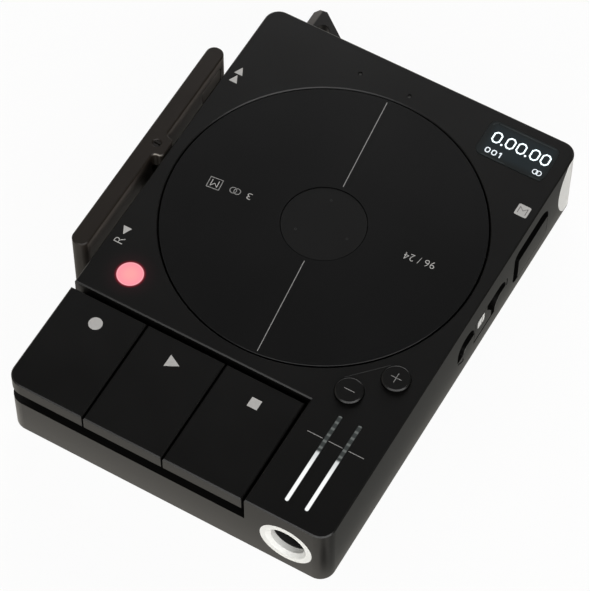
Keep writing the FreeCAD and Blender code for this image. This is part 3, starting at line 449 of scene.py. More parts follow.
@dataclass(frozen=True)
class LugMetal(Blasted):
    """The strap lug's finish, with a painted highlight along its outer edge."""

    # Painted highlight along the outer edge.
    painted_highlight: Colour = (0.15, 0.14, 0.13)
    edge: Pair = (-26.95, -26.55)

    def colour_over(self, kit: Nodes, place: Place, cloud: Signal) -> Signal:
        """The dark tone, and the painted highlight at the edge."""
        dark, light = (self.shades(kit, tone, cloud) for tone in (self.colour, self.painted_highlight))
        return kit.mix(light, dark, place.x.fade(*self.edge))


@dataclass(frozen=True)
class Brushed(Finish):
    """Metal with fine lines that run along one axis."""

    along: Spot = (1.0, 0.06, 1.0)

    def relief(self, kit: Nodes, place: Place, grain: Signal) -> Signal:
        """Noise drawn out along the brushing."""
        return kit.noise(kit.stretched(place.vector, self.along), self.grain_size, detail=4.0)


@dataclass(frozen=True)
class CircuitBoard(Finish):
    """Solder mask over copper tracks, with tinned pads."""

    track: Colour = (0.02, 0.1, 0.045)
    pad: Colour = (0.62, 0.58, 0.47)
    wander: float = 9.0
    waves: float = 3.2
    track_band: Pair = (0.55, 0.75)
    pad_pitch: float = 2.6
    pad_band: Pair = (0.16, 0.2)
    proud: float = 0.8
    rough: float = 0.2

    def tracks(self, kit: Nodes, place: Place) -> Signal:
        """One on a copper track, zero between tracks."""
        aside = kit.noise(place.vector, self.wander, detail=1.0) * self.wander
        return ((place.x + aside) * self.waves).sine().fade(*self.track_band)

    def colour_over(self, kit: Nodes, place: Place, cloud: Signal) -> Signal:
        """Mask, lighter over the tracks, and bare pads.

        Args:
            kit: The shader tree.
            place: The point being shaded.
            cloud: The slow noise of the mottling.

        Returns:
            The base colour.
        """
        mask = kit.mix(self.shades(kit, self.colour, cloud), self.track, self.tracks(kit, place))
        pads = 1.0 - kit.cells(place.vector, self.pad_pitch).fade(*self.pad_band)
        return kit.mix(mask, self.pad, pads)

    def relief(self, kit: Nodes, place: Place, grain: Signal) -> Signal:
        """Tracks stand a little proud."""
        return self.tracks(kit, place) * self.proud + grain * self.rough


@dataclass(frozen=True)
class Windings(Finish):
    """Enamelled copper wire wound side by side."""

    pitch: float = 0.32
    wire: float = 0.9
    rough: float = 0.1

    def relief(self, kit: Nodes, place: Place, grain: Signal) -> Signal:
        """One rounded wire after another."""
        wires = abs((place.z * (math.pi / self.pitch)).sine())
        return wires * self.wire + grain * self.rough


@dataclass(frozen=True)
class Wrap(Finish):
    """Shrunk film, with soft creases."""

    crease: float = 2.4
    along: Spot = (0.15, 1.0, 1.0)
    creased: float = 0.8
    rough: float = 0.2

    def relief(self, kit: Nodes, place: Place, grain: Signal) -> Signal:
        """Long shallow creases under the grain."""
        creases = kit.noise(kit.stretched(place.vector, self.along), self.crease, detail=3.0)
        return creases * self.creased + grain * self.rough


@dataclass(frozen=True)
class RecordLamp(Finish):
    """A frosted lens lit from below: flat pink, redder at its rim."""

    warm: Colour = srgb(252, 163, 164)
    cool: Colour = srgb(255, 150, 163)
    pale: Colour = srgb(255, 176, 186)
    edge: Colour = srgb(112, 6, 22)
    cool_band: Pair = (0.4, LAMP_RADIUS * 0.9)
    pale_band: Pair = (0.45, 0.2)
    edge_band: Pair = (0.26, 0.08)

    def glow_over(self, kit: Nodes, place: Place, cloud: Signal) -> Signal:
        """Pink with a slow change across, and the rim.

        Args:
            kit: The shader tree.
            place: The point being shaded.
            cloud: The slow noise of the mottling, not used here.

        Returns:
            The colour of the light.
        """
        far = kit.distance(place, *LAMP_SPOT)
        glow = kit.mix(self.warm, self.cool, far.fade(*self.cool_band))
        for tone, band in ((self.pale, self.pale_band), (self.edge, self.edge_band)):
            glow = kit.mix(glow, tone, far.fade(*(LAMP_RADIUS - depth for depth in band)))
        return glow


@dataclass(frozen=True)
class Meter(Finish):
    """A light bar: a row of segments, lit from the front end up to one level."""

    bars: Pair = (23.35, 27.45)
    half_width: float = 0.36
    soft: Pair = (-0.04, 0.05)
    ends: Pair = (-44.9, -25.6)
    level: float = -33.7
    step: float = 0.35
    fall: Pair = (-38.5, -33.3)
    pitch: float = 1.47
    dot: float = -26.4525
    dark: Colour = srgb(46, 50, 49)
    dim: Colour = srgb(96, 100, 98)
    lit: Colour = srgb(214, 217, 217)
    white: Colour = srgb(252, 253, 253)

    def glow_over(self, kit: Nodes, place: Place, cloud: Signal) -> Signal:
        """White below the level, faint dots of the unlit segments above it.

        Args:
            kit: The shader tree.
            place: The point being shaded.
            cloud: The slow noise of the mottling, not used here.

        Returns:
            The colour of the light.
        """
        dots = ((place.y - self.dot) * (2 * math.pi / self.pitch)).sine() * -1.0
        idle = kit.mix(self.dark, self.dim, dots.fade(0.0, 1.0))
        bright = kit.mix(self.white, self.lit, place.y.fade(*self.fall))
        past = place.y.fade(self.level - self.step, self.level + self.step)
        middle = sum(self.bars) / 2
        across = abs(abs(place.x - middle) - (self.bars[1] - middle))
        along = kit.larger(kit.larger(self.ends[0] - place.y, place.y - self.ends[1]), 0.0)
        far = kit.math("SQRT", across * across + along * along)
        outside = far.fade(*(self.half_width + reach for reach in self.soft))
        return kit.mix(kit.mix(bright, idle, past), NOTHING, outside)


@dataclass(frozen=True)
class Screen(Finish):
    """Smoked glass over a lit panel: slate, darker at its border."""

    middle: Pair = (24.0, 42.6)
    across: Pair = (5.6, 7.2)
    along: Pair = (2.6, 4.1)
    tint: Colour = srgb(27, 34, 37)
    border: Colour = srgb(21, 24, 24)

    def glow_over(self, kit: Nodes, place: Place, cloud: Signal) -> Signal:
        """The panel's idle light, weaker at the border.

        Args:
            kit: The shader tree.
            place: The point being shaded.
            cloud: The slow noise of the mottling, not used here.

        Returns:
            The colour of the light.
        """
        aside = abs(place.x - self.middle[0]).fade(*self.across)
        beyond = abs(place.y - self.middle[1]).fade(*self.along)
        return kit.mix(self.tint, self.border, kit.larger(aside, beyond))


@dataclass(frozen=True)
class Glow(Finish):
    """A lit symbol, with the fine grid of its dots."""

    dots: float = 0.11

    def glow_over(self, kit: Nodes, place: Place, cloud: Signal) -> Signal:
        """Light that dips slightly between two dots.

        Args:
            kit: The shader tree.
            place: The point being shaded.
            cloud: The slow noise of the mottling, not used here.

        Returns:
            The colour of the light.
        """
        turn = 2 * math.pi / self.dots
        grid = (place.x * turn).sine() * (place.y * turn).sine()
        return self.shades(kit, self.colour, grid * 0.5 + 0.5)


CASE_BLACK = (0.0042, 0.0040, 0.0038)

# The case's finish adds a painted red glow round the record lamp.
CASE = LampCase("case_anodised_with_painted_glow", CASE_BLACK, roughness=0.34, specular=0.34, glow=1.0,
                mottle=0.14, mottle_size=18.0, grain_size=0.16, grain_depth=0.0022, spread=0.05)
TRIM = Blasted("trim_anodised", CASE_BLACK, roughness=0.34, specular=0.34, mottle=0.12,
               mottle_size=11.0, grain_size=0.16, grain_depth=0.0022, spread=0.05)
DISC = Blasted("reel_anodised", (0.0036, 0.0036, 0.0037), roughness=0.34, specular=0.26,
               mottle=0.12, mottle_size=22.0, grain_size=0.14, grain_depth=0.0018, spread=0.05)
HUB = Blasted("hub_rubber", (0.0055, 0.0055, 0.0054), roughness=0.5, specular=0.13, mottle=0.1,
              mottle_size=5.0, grain_size=0.2, grain_depth=0.005, spread=0.06)
# The lever's finish paints light on its inner wall and a highlight on its knuckle.
LEVER = LeverMetal("lever_anodised_with_painted_light", (0.0190, 0.0148, 0.0118), roughness=0.4, specular=0.2,
                   mottle=0.14, mottle_size=9.0, grain_size=0.16, grain_depth=0.002, spread=0.06)
PIN = Blasted("pin_anodised", (0.0140, 0.0115, 0.0100), roughness=0.42, specular=0.22,
              mottle=0.1, mottle_size=1.0, grain_size=0.12, grain_depth=0.002)
PAD = Finish("lever_pad_rubber", (0.48, 0.44, 0.39), roughness=0.6, specular=0.3, mottle=0.08,
             mottle_size=1.5, grain_size=0.2, grain_depth=0.006)
# The lug's finish paints a highlight along its outer edge.
LUG = LugMetal("lug_anodised_with_painted_highlight", (0.0085, 0.0072, 0.0062), roughness=0.38, specular=0.3,
               mottle=0.14, mottle_size=4.0, grain_size=0.16, grain_depth=0.0022, spread=0.05)
# Painted shade: thin dark lines at the ends of the finger scoops.
SHADE_LINE = Finish("painted_shade_line", (0.001, 0.001, 0.001), roughness=0.8, specular=0.0, mottle=0.1,
              mottle_size=0.5, grain_size=0.1, grain_depth=0.001)
# Painted highlight: light arcs along the finger scoops' rounded edges.
EDGE = Blasted("painted_scoop_glint", (0.13, 0.13, 0.12), roughness=0.35, specular=0.4, mottle=0.1,
               mottle_size=0.6, grain_size=0.12, grain_depth=0.002)
MESH = Finish("microphone_mesh", (0.16, 0.16, 0.15), roughness=0.45, metallic=0.3, mottle=0.3,
              mottle_size=0.12, grain_size=0.09, grain_depth=0.02)
WHITE = Finish("white_moulding", (0.83, 0.83, 0.81), roughness=0.42, mottle=0.02,
               mottle_size=7.0, grain_size=0.3, grain_depth=0.003, spread=0.06)
RING_WHITE = Finish("white_ring", (0.85, 0.85, 0.82), roughness=0.38, mottle=0.02,
                    mottle_size=5.0, grain_size=0.3, grain_depth=0.003, spread=0.06)
BLACK = Finish("black_moulding", (0.012, 0.012, 0.012), roughness=0.5, mottle=0.15,
               mottle_size=3.0, grain_size=0.22, grain_depth=0.006, spread=0.08)
DARK_STEEL = Brushed("blackened_steel", (0.06, 0.058, 0.056), roughness=0.36, metallic=1.0,
                     mottle=0.2, mottle_size=1.5, grain_size=0.1, grain_depth=0.003)
STEEL = Brushed("bare_steel", (0.52, 0.52, 0.53), roughness=0.28, metallic=1.0, mottle=0.12,
                mottle_size=2.5, grain_size=0.12, grain_depth=0.003)
ALUMINIUM = Brushed("bare_aluminium", (0.71, 0.72, 0.73), roughness=0.34, metallic=1.0,
                    mottle=0.08, mottle_size=4.0, grain_size=0.14, grain_depth=0.003)
BRASS = Brushed("sintered_bronze", (0.56, 0.36, 0.16), roughness=0.4, metallic=1.0, mottle=0.18,
                mottle_size=1.2, grain_size=0.1, grain_depth=0.004)
MAGNET = Finish("bonded_magnet", (0.055, 0.052, 0.05), roughness=0.6, metallic=0.4, mottle=0.25,
                mottle_size=0.8, grain_size=0.12, grain_depth=0.006)
BOARD = CircuitBoard("circuit_board", (0.006, 0.045, 0.02), roughness=0.38, mottle=0.2,
                     grain_depth=0.02)
COIL = Windings("copper_windings", (0.48, 0.17, 0.07), roughness=0.32, metallic=0.9,
                grain_depth=0.06)
CELL = Wrap("battery_film", (0.03, 0.07, 0.17), roughness=0.3, coat=0.4, mottle=0.12,
            grain_depth=0.05)
LAMP = RecordLamp("record_lens", (0.02, 0.004, 0.005), roughness=0.45, glow=1.0,
                  grain_depth=0.001)
METER = Meter("meter_lens_lit", (0.012, 0.013, 0.013), roughness=0.35, glow=1.0,
              grain_depth=0.001)
SCREEN = Screen("screen_glass", (0.004, 0.0045, 0.005), roughness=0.3, specular=0.3, glow=1.0,
                mottle=0.05, grain_depth=0.0004, spread=0.03)
INK = Finish("light_print", srgb(196, 194, 191), roughness=0.55, mottle=0.05, mottle_size=0.5,
             grain_size=0.08, grain_depth=0.003)
FINE_INK = replace(INK, name="fine_print", colour=srgb(150, 149, 147), mottle=0.06)
FAINT_INK = replace(INK, name="faint_line", colour=srgb(40, 40, 40), roughness=0.5, mottle=0.1,
                    mottle_size=0.7)
GREY_INK = replace(INK, name="grey_print", colour=srgb(112, 108, 107), mottle=0.08)
DARK_INK = replace(INK, name="dark_print", colour=srgb(24, 24, 24), mottle=0.1)
GLYPH = Glow("screen_glyph", srgb(228, 241, 246), roughness=0.4, glow=1.0, mottle=0.03)
GLYPH_SOFT = replace(GLYPH, name="screen_glyph_soft", colour=srgb(196, 202, 207), mottle=0.04)
# Painted highlight: light along the edges of the screen's glass.
GLASS_GLINT = Finish("painted_screen_highlight", srgb(58, 62, 63), roughness=0.2, mottle=0.2, mottle_size=3.0,
                    grain_size=0.2, grain_depth=0.001)

DRESS: dict[Finish, Sequence[str]] = {
    CASE: ("housing",),
    TRIM: ("bottom_cover", "record_key", "play_key", "stop_key", "minus_button",
           "plus_button", "memo_button", "side_switch"),
    LUG: ("strap_lug",),
    COIL: ("stator",),
    DISC: ("reel_disc",),
    HUB: ("hub_cap",),
    LEVER: ("rocker_lever",),
    PIN: ("rocker_pin",),
    WHITE: ("corner_window",),
    RING_WHITE: ("headphone_ring",),
}

BY_SLOT: dict[str, Finish] = {
    "case": TRIM,
    "white_plastic": WHITE,
    "dark_steel": DARK_STEEL,
    "aluminium_bare": ALUMINIUM,
    "steel": STEEL,
    "brass": BRASS,
    "magnet": MAGNET,
    "board": BOARD,
    "black_plastic": BLACK,
    "red_lens": LAMP,
    "meter_lens": METER,
    "display_glass": SCREEN,
    "battery_wrap": CELL,
}


# --------------------------------------------------------------------------- modelling


def deselect_all() -> None:
    """Leave edit mode and drop the selection, so that an operator acts on one piece."""
    if bpy.context.object and bpy.context.object.mode != "OBJECT":
        bpy.ops.object.mode_set(mode="OBJECT")
    bpy.ops.object.select_all(action="DESELECT")


@dataclass
class Bench:
    """A primitive just added, as a piece that is shaped and then finished."""

    name: str
    piece: bpy.types.Object = field(init=False)
    weld: float = 1e-7
    smooth_up_to: float = 35.0

    def __post_init__(self) -> None:
        """Name the primitive, put its size in its mesh and open it for shaping."""
        self.piece = bpy.context.object
        self.piece.name = self.piece.data.name = self.name
        bpy.ops.object.transform_apply(location=False, rotation=False, scale=True)
        bpy.ops.object.mode_set(mode="EDIT")

    def keep_arc(self, span: Pair) -> None:
        """Delete the faces outside an arc about the piece's origin.

        Args:
            span: Where the arc starts and ends, in degrees.
        """
        bpy.ops.mesh.select_mode(type="FACE")
        mesh = bmesh.from_edit_mesh(self.piece.data)
        for face in mesh.faces:
            spot = face.calc_center_median()
            way = math.degrees(math.atan2(spot.y, spot.x)) % 360
            face.select_set(not span[0] < way < span[1])
        mesh.select_flush_mode()
        bmesh.update_edit_mesh(self.piece.data)
        bpy.ops.mesh.delete(type="FACE")

    def thicken(self, height: float) -> None:
        """Give a flat outline its height in millimetres."""
        bpy.ops.mesh.select_all(action="SELECT")
        bpy.ops.mesh.extrude_region_move(TRANSFORM_OT_translate={"value": (0, 0, height * MM)})

    def open_middle(self, stroke: float) -> None:
        """Turn a flat outline into a band along its edge.

        Args:
            stroke: The width of the band in millimetres.
        """
        bpy.ops.mesh.select_all(action="SELECT")
        bpy.ops.mesh.inset(thickness=stroke * MM)
        bpy.ops.mesh.delete(type="FACE")

    def done(
        self, body: Body, finish: Finish, turn: Matrix | None = None
    ) -> bpy.types.Object:
        """Close the shaping, put the place in the mesh and hand the piece to its body.

        Args:
            body: The body that it rides on.
            finish: Its finish.
            turn: A last turn of the piece about the origin, if it has one.

        Returns:
            The finished piece.
        """
        bpy.ops.object.mode_set(mode="EDIT")
        bpy.ops.mesh.select_all(action="SELECT")
        bpy.ops.mesh.remove_doubles(threshold=self.weld)
        bpy.ops.mesh.normals_make_consistent(inside=False)
        bpy.ops.object.mode_set(mode="OBJECT")
        if turn is not None:
            self.piece.matrix_world = turn @ self.piece.matrix_world
        bpy.ops.object.transform_apply(location=True, rotation=True, scale=True)
        bpy.ops.object.shade_smooth_by_angle(angle=math.radians(self.smooth_up_to))
        self.piece.data.materials.clear()
        self.piece.data.materials.append(finish.material())
        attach(self.piece, body.value)
        self.piece.select_set(False)
        log.info("%s rides on %s", self.name, body.value)
        return self.piece


@dataclass(frozen=True)
class Printer:
    """Lays thin prints on one flat face: every mark is a low plate on that face.

    The face may be turned: the marks are laid out flat, at the height level, and the
    turn then takes them to the face.
    """

    body: Body
    level: float
    finish: Finish = INK
    slot: Slot = Slot.WHITE
    height: float = 0.02
    sunk: float = 0.01
    tip: float = 0.06
    letter_steps: int = 4
    turn: Matrix | None = None

    def _at(self, x: float, y: float) -> Spot:
        """A place on the face, in metres, a little sunk into it."""
        return (x * MM, y * MM, (self.level - self.sunk) * MM)

    def _close(self, bench: Bench, finish: Finish | None) -> bpy.types.Object:
        """Thicken a flat outline and finish it."""
        bench.thicken(self.height + self.sunk)
        return bench.done(self.body, finish or self.finish, self.turn)

    def _plane(
        self, name: str, x: float, y: float, width: float, tall: float, tilt: float
    ) -> Bench:
        """A flat rectangle, ready to be shaped.

        Args:
            name: The piece's name.
            x: Its middle across.
            y: Its middle along.
            width: Its width.
            tall: Its height on the face.
            tilt: Its turn on the face in degrees.

        Returns:
            The rectangle, open for shaping.
        """
        deselect_all()
        bpy.ops.mesh.primitive_plane_add(
            size=1.0, location=self._at(x, y), rotation=(0, 0, math.radians(tilt))
        )
        bpy.context.object.scale = (width * MM, tall * MM, 1.0)
        return Bench(name)

    def box(
        self, name: str, x: float, y: float, width: float, tall: float, *,
        corner: float = 0.05, steps: int = 2, stroke: float | None = None, tilt: float = 0.0,
        finish: Finish | None = None,
    ) -> bpy.types.Object:
        """A rectangle with eased or chamfered corners, filled or as an outline.

        Args:
            name: The piece's name.
            x: Its middle across.
            y: Its middle along.
            width: Its width.
            tall: Its height on the face.
            corner: How much is taken off each corner.
            steps: One for a chamfer, more for a round corner.
            stroke: The width of its outline, or None for a filled shape.
            tilt: Its turn on the face in degrees.
            finish: Its finish, where it isn't the printer's own.

        Returns:
            The finished piece.
        """
        bench = self._plane(name, x, y, width, tall, tilt)
        bpy.ops.mesh.bevel(offset=corner * MM, segments=steps, affect="VERTICES")
        if stroke:
            bench.open_middle(stroke)
        return self._close(bench, finish)

    def line(
        self, name: str, start: Pair, end: Pair, width: float, finish: Finish | None = None
    ) -> bpy.types.Object:
        """A straight line with round ends.

        Args:
            name: The piece's name.
            start: Where it begins.
            end: Where it ends.
            width: Its width.
            finish: Its finish, where it isn't the printer's own.

        Returns:
            The finished piece.
        """
        run = Vector(end) - Vector(start)
        middle = (Vector(end) + Vector(start)) / 2
        tilt = math.degrees(math.atan2(run.y, run.x))
        return self.box(name, middle.x, middle.y, run.length, width,
                        corner=width * 0.49, steps=3, tilt=tilt, finish=finish)

    def disc(
        self, name: str, x: float, y: float, radius: float, *, stroke: float | None = None,
        span: Pair | None = None, points: int = 40, finish: Finish | None = None,
    ) -> bpy.types.Object:
        """A round dot, a ring where it has a stroke, or an arc of one.

        Args:
            name: The piece's name.
            x: Its middle across.
            y: Its middle along.
            radius: Its radius.
            stroke: The width of the ring, or None for a dot.
            span: Where an arc of the ring starts and ends, in degrees, or None for all of it.
            points: How many corners its outline has.
            finish: Its finish, where it isn't the printer's own.

        Returns:
            The finished piece.
        """
        deselect_all()
        bpy.ops.mesh.primitive_circle_add(
            vertices=points, radius=radius * MM, fill_type="NGON", location=self._at(x, y)
        )
        bench = Bench(name)
        if stroke:
            bench.open_middle(stroke)
        if span:
            bench.keep_arc(span)
        return self._close(bench, finish)

    def repeat(
        self, source: bpy.types.Object, name: str, x: float, y: float
    ) -> bpy.types.Object:
        """Copy a finished print to another place on the face.

        Args:
            source: The print that it is a copy of.
            name: The copy's name.
            x: How far across from the source.
            y: How far along from it.

        Returns:
            The copy, which has its own mesh.
        """
        turn = self.turn or Matrix.Identity(4)
        mesh = source.data.copy()
        mesh.name = name
        mesh.transform(turn @ Matrix.Translation((x * MM, y * MM, 0)) @ turn.inverted())
        twin = bpy.data.objects.new(name, mesh)
        bpy.context.scene.collection.objects.link(twin)
        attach(twin, self.body.value)
        log.info("%s rides on %s", name, self.body.value)
        return twin

    def arrow(
        self, name: str, x: float, y: float, width: float, tall: float, tilt: float
    ) -> bpy.types.Object:
        """A filled triangle, its tip up the face before it is tilted.

        Args:
            name: The piece's name.
            x: The middle of its box across.
            y: The middle of its box along.
            width: The length of its base.
            tall: From its base to its tip.
            tilt: Its turn in degrees.

        Returns:
            The finished piece.
        """
        bench = self._plane(name, x, y, width, tall, tilt)
        mesh = bmesh.from_edit_mesh(bench.piece.data)
        for vert in mesh.verts:
            vert.select_set(vert.co.y > 0)
        mesh.select_flush(True)
        bmesh.update_edit_mesh(bench.piece.data)
        bpy.ops.mesh.merge(type="CENTER")
        bpy.ops.mesh.select_all(action="SELECT")
        bpy.ops.mesh.bevel(offset=self.tip * MM, segments=2, affect="VERTICES")
        return self._close(bench, None)

    def words(
        self, name: str, text: str, x: float, y: float, width: float, tall: float, *,
        tilt: float = 0.0, weight: float = 0.0, finish: Finish | None = None,
    ) -> bpy.types.Object:
        """A number or a single letter, made a mesh and fitted to its measured box.

        Args:
            name: The piece's name.
            text: What it shows.
            x: The middle of its box across.
            y: The middle of its box along.
            width: The width of its box.
            tall: The height of its box.
            tilt: Its turn in degrees.
            weight: How much bolder its strokes are, as a share of its size.
            finish: Its finish, where it isn't the printer's own.

        Returns:
            The finished piece.
        """
        deselect_all()
        bpy.ops.object.text_add()
        word = bpy.context.object
        word.data.body = text
        word.data.size = tall * MM
        word.data.offset = weight * tall * MM
        word.data.extrude = (self.height + self.sunk) * MM / 2
        word.data.resolution_u = self.letter_steps
        bpy.ops.object.convert(target="MESH")
        points = [v.co for v in word.data.vertices]
        low = Vector(min(p[i] for p in points) for i in range(3))
        high = Vector(max(p[i] for p in points) for i in range(3))
        span = high - low
        fit = Matrix.Diagonal((width * MM / span.x, tall * MM / span.y, 1.0, 1.0))
        lift = Vector(self._at(x, y)) + Vector((0, 0, span.z / 2))
        spin = Matrix.Rotation(math.radians(tilt), 4, "Z")
        word.matrix_world = (
            Matrix.Translation(lift) @ spin @ fit @ Matrix.Translation(-(low + high) / 2)
        )
        bpy.ops.object.transform_apply(location=True, rotation=True, scale=True)
        return Bench(name).done(self.body, finish or self.finish, self.turn)

    def rings(
        self, name: str, x: float, y: float, radius: float, stroke: float, apart: float,
        tilt: float = 0.0, finish: Finish | None = None,
    ) -> None:
        """Two linked rings, side by side.

        Args:
            name: The start of both pieces' names.
            x: The middle of the pair across.
            y: The middle of the pair along.
            radius: The radius of each ring.
            stroke: The width of their line.
            apart: From one middle to the other.
            tilt: The turn of the pair in degrees.
            finish: Their finish, where it isn't the printer's own.
        """
        step_x, step_y = (apart * f(math.radians(tilt)) for f in (math.cos, math.sin))
        left = self.disc(f"{name}_left", x - step_x / 2, y - step_y / 2, radius,
                         stroke=stroke, finish=finish)
        self.repeat(left, f"{name}_right", step_x, step_y)


# --------------------------------------------------------------------------- sub-assemblies


@dataclass
class Solids:
    """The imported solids, each dressed in its finish."""

    nodes: Mapping[str, bpy.types.Object]
    slots: Mapping[str, str]
    own: Mapping[str, Finish] = field(
        default_factory=lambda: {n: f for f, names in DRESS.items() for n in names}
    )

    def dress(self) -> None:
        """Give every solid its finish."""
        for name, piece in self.nodes.items():
            finish = self.own.get(name) or BY_SLOT[self.slots[name]]
            if not piece.material_slots:
                piece.data.materials.append(finish.material())
            for place in piece.material_slots:
                place.material = finish.material()
            log.info("%s dressed as %s", name, finish.name)


@dataclass
class DeckMarks:
    """The prints on the case's top face."""

    arrow_x: float = -31.6
    arrow_ys: Pair = (32.2, 30.1)
    back_y: float = -10.6
    arrow: Pair = (1.82, 1.82)
    letter_spot: Pair = (-31.52, -12.9)
    letter_size: Pair = (1.4, 1.85)
    memo_spot: Pair = (31.2, 30.8)
    memo_size: Pair = (2.6, 2.6)
    memo_letter: Pair = (1.75, 1.5)
    over: float = 0.015
    meter_y: float = -30.9
    meter_xs: Sequence[tuple[str, float, float]] = (
        ("left", 19.5, 22.75), ("middle", 23.95, 26.85), ("right", 28.05, 31.3),
    )
    meter_stroke: float = 0.14
    link_radius: float = 3.15
    link_stroke: float = 0.12

    def build(self) -> None:
        """Lay every print on the deck."""
        ink = Printer(Body.CASE, DECK)
        far, near = self.arrow_ys
        arrow = ink.arrow("deck_arrow_far", self.arrow_x, far, *self.arrow, 0.0)
        ink.repeat(arrow, "deck_arrow_near", 0.0, near - far)
        ink.arrow("deck_arrow_back", self.arrow_x, self.back_y, *self.arrow, 180.0)
        ink.words("deck_letter", "R", *self.letter_spot, *self.letter_size, tilt=90.0, weight=-0.02)
        ink.box("memo_mark", *self.memo_spot, *self.memo_size, corner=0.32, steps=4)
        Printer(Body.CASE, DECK + self.over, GREY_INK).words(
            "memo_mark_letter", "M", *self.memo_spot, *self.memo_letter, weight=-0.025
        )
        for name, *xs in self.meter_xs:
            start, end = ((x, self.meter_y) for x in xs)
            ink.line(f"meter_mark_{name}", start, end, self.meter_stroke, FINE_INK)
        self._link(ink)

    def _link(self, ink: Printer) -> None:
        """The faint outline that joins the two volume buttons.

        Args:
            ink: The printer of the deck.
        """
        run = (Vector(PLUS_SPOT) - Vector(MINUS_SPOT)).normalized()
        side = Vector((-run.y, run.x)) * self.link_radius
        start, end = (tuple(Vector(spot) + side) for spot in (MINUS_SPOT, PLUS_SPOT))
        ink.line("volume_link", start, end, self.link_stroke, FAINT_INK)


@dataclass
class ReelMarks:
    """The prints on the reel, which is drawn a few degrees off square."""

    centre: Pair = (0.0, 9.5)
    tilt: float = 6.0
    hub_level: float = 16.3
    rim: float = 30.6
    inner: float = 9.1
    line: float = 0.16
    box_spot: Pair = (-22.5, 7.05)
    box_size: Pair = (2.72, 2.5)
    box_letter: Pair = (1.5, 1.5)
    ring_spot: Pair = (-18.25, 7.5)
    ring_radius: float = 0.72
    ring_apart: float = 0.82
    stroke: float = 0.15
    count: Sequence[float] = (-15.3, 7.75, 0.92, 1.42)
    rate: Sequence[float] = (19.6, 11.25, 6.2, 1.55)
    dot_reach: float = 5.5
    dot_ways: Sequence[float] = (105.0, 222.0, -8.0)
    dot_radius: float = 0.26

    def _spot(self, radius: float, degrees: float) -> Pair:
        """A point on the reel.

        Args:
            radius: Its distance from the middle.
            degrees: Its direction from there.

        Returns:
            Its place across and along.
        """
        turn = math.radians(degrees)
        x, y = self.centre
        return (x + radius * math.cos(turn), y + radius * math.sin(turn))

    def build(self) -> None:
        """Lay every print on the reel."""
        fine = Printer(Body.REEL, DECK, FINE_INK)
        for name, way in (("reel_line_rear", 90.0), ("reel_line_front", -90.0)):
            ends = (self._spot(radius, way + self.tilt) for radius in (self.inner, self.rim))
            fine.line(name, *ends, self.line)
        fine.box("reel_box", *self.box_spot, *self.box_size, corner=0.1, stroke=self.stroke,
                 tilt=self.tilt)
        ink, flipped = Printer(Body.REEL, DECK), 180.0 + self.tilt
        ink.words("reel_box_letter", "M", *self.box_spot, *self.box_letter, tilt=flipped,
                  weight=-0.02)
        fine.rings("reel_ring", *self.ring_spot, self.ring_radius, self.stroke, self.ring_apart,
                   self.tilt)
        ink.words("reel_count", "3", *self.count, tilt=flipped, weight=-0.015)
        ink.words("reel_rate", "96 / 24", *self.rate, tilt=flipped, weight=-0.015)
        self._dots(Printer(Body.REEL, self.hub_level, DARK_INK, Slot.BLACK))

    def _dots(self, hub: Printer) -> None:
        """Three small rings on the hub, one modelled and two copied.

        Args:
            hub: The printer of the hub's face.
        """
        spots = [self._spot(self.dot_reach, way) for way in self.dot_ways]
        dot = hub.disc("hub_dot_0", *spots[0], self.dot_radius, points=16, stroke=0.11)
        for number, (x, y) in enumerate(spots[1:], 1):
            hub.repeat(dot, f"hub_dot_{number}", x - spots[0][0], y - spots[0][1])


@dataclass
class KeyMarks:
    """The symbols on the three keys."""

    level: float = 16.1
    record_spot: Pair = (-25.8, -30.7)
    record_radius: float = 1.35
    play_spot: Pair = (-8.9, -30.8)
    play_size: Pair = (2.75, 2.6)
    stop_spot: Pair = (8.3, -30.7)
    stop_size: Pair = (2.1, 2.1)

    def build(self) -> None:
        """Record, play and stop."""
        record, play, stop = (Printer(b, self.level) for b in (Body.RECORD, Body.PLAY, Body.STOP))
        record.disc("record_mark", *self.record_spot, self.record_radius)
        play.arrow("play_mark", *self.play_spot, *self.play_size, -90.0)
        stop.box("stop_mark", *self.stop_spot, *self.stop_size)


@dataclass
class VolumeMarks:
    """Minus and plus on the volume buttons."""

    level: float = 16.995
    height: float = 0.012
    stroke: float = 0.13
    half: float = 1.1

    def build(self) -> None:
        """One line on the minus button, two on the plus button."""
        for name, body, (x, y), across, along in (
            ("minus_mark", Body.MINUS, MINUS_SPOT, self.half, 0.0),
            ("plus_mark_across", Body.PLUS, PLUS_SPOT, self.half, 0.0),
            ("plus_mark_along", Body.PLUS, PLUS_SPOT, 0.0, self.half),
        ):
            fine = Printer(body, self.level, FINE_INK, height=self.height)
            fine.line(name, (x - across, y - along), (x + across, y + along), self.stroke)


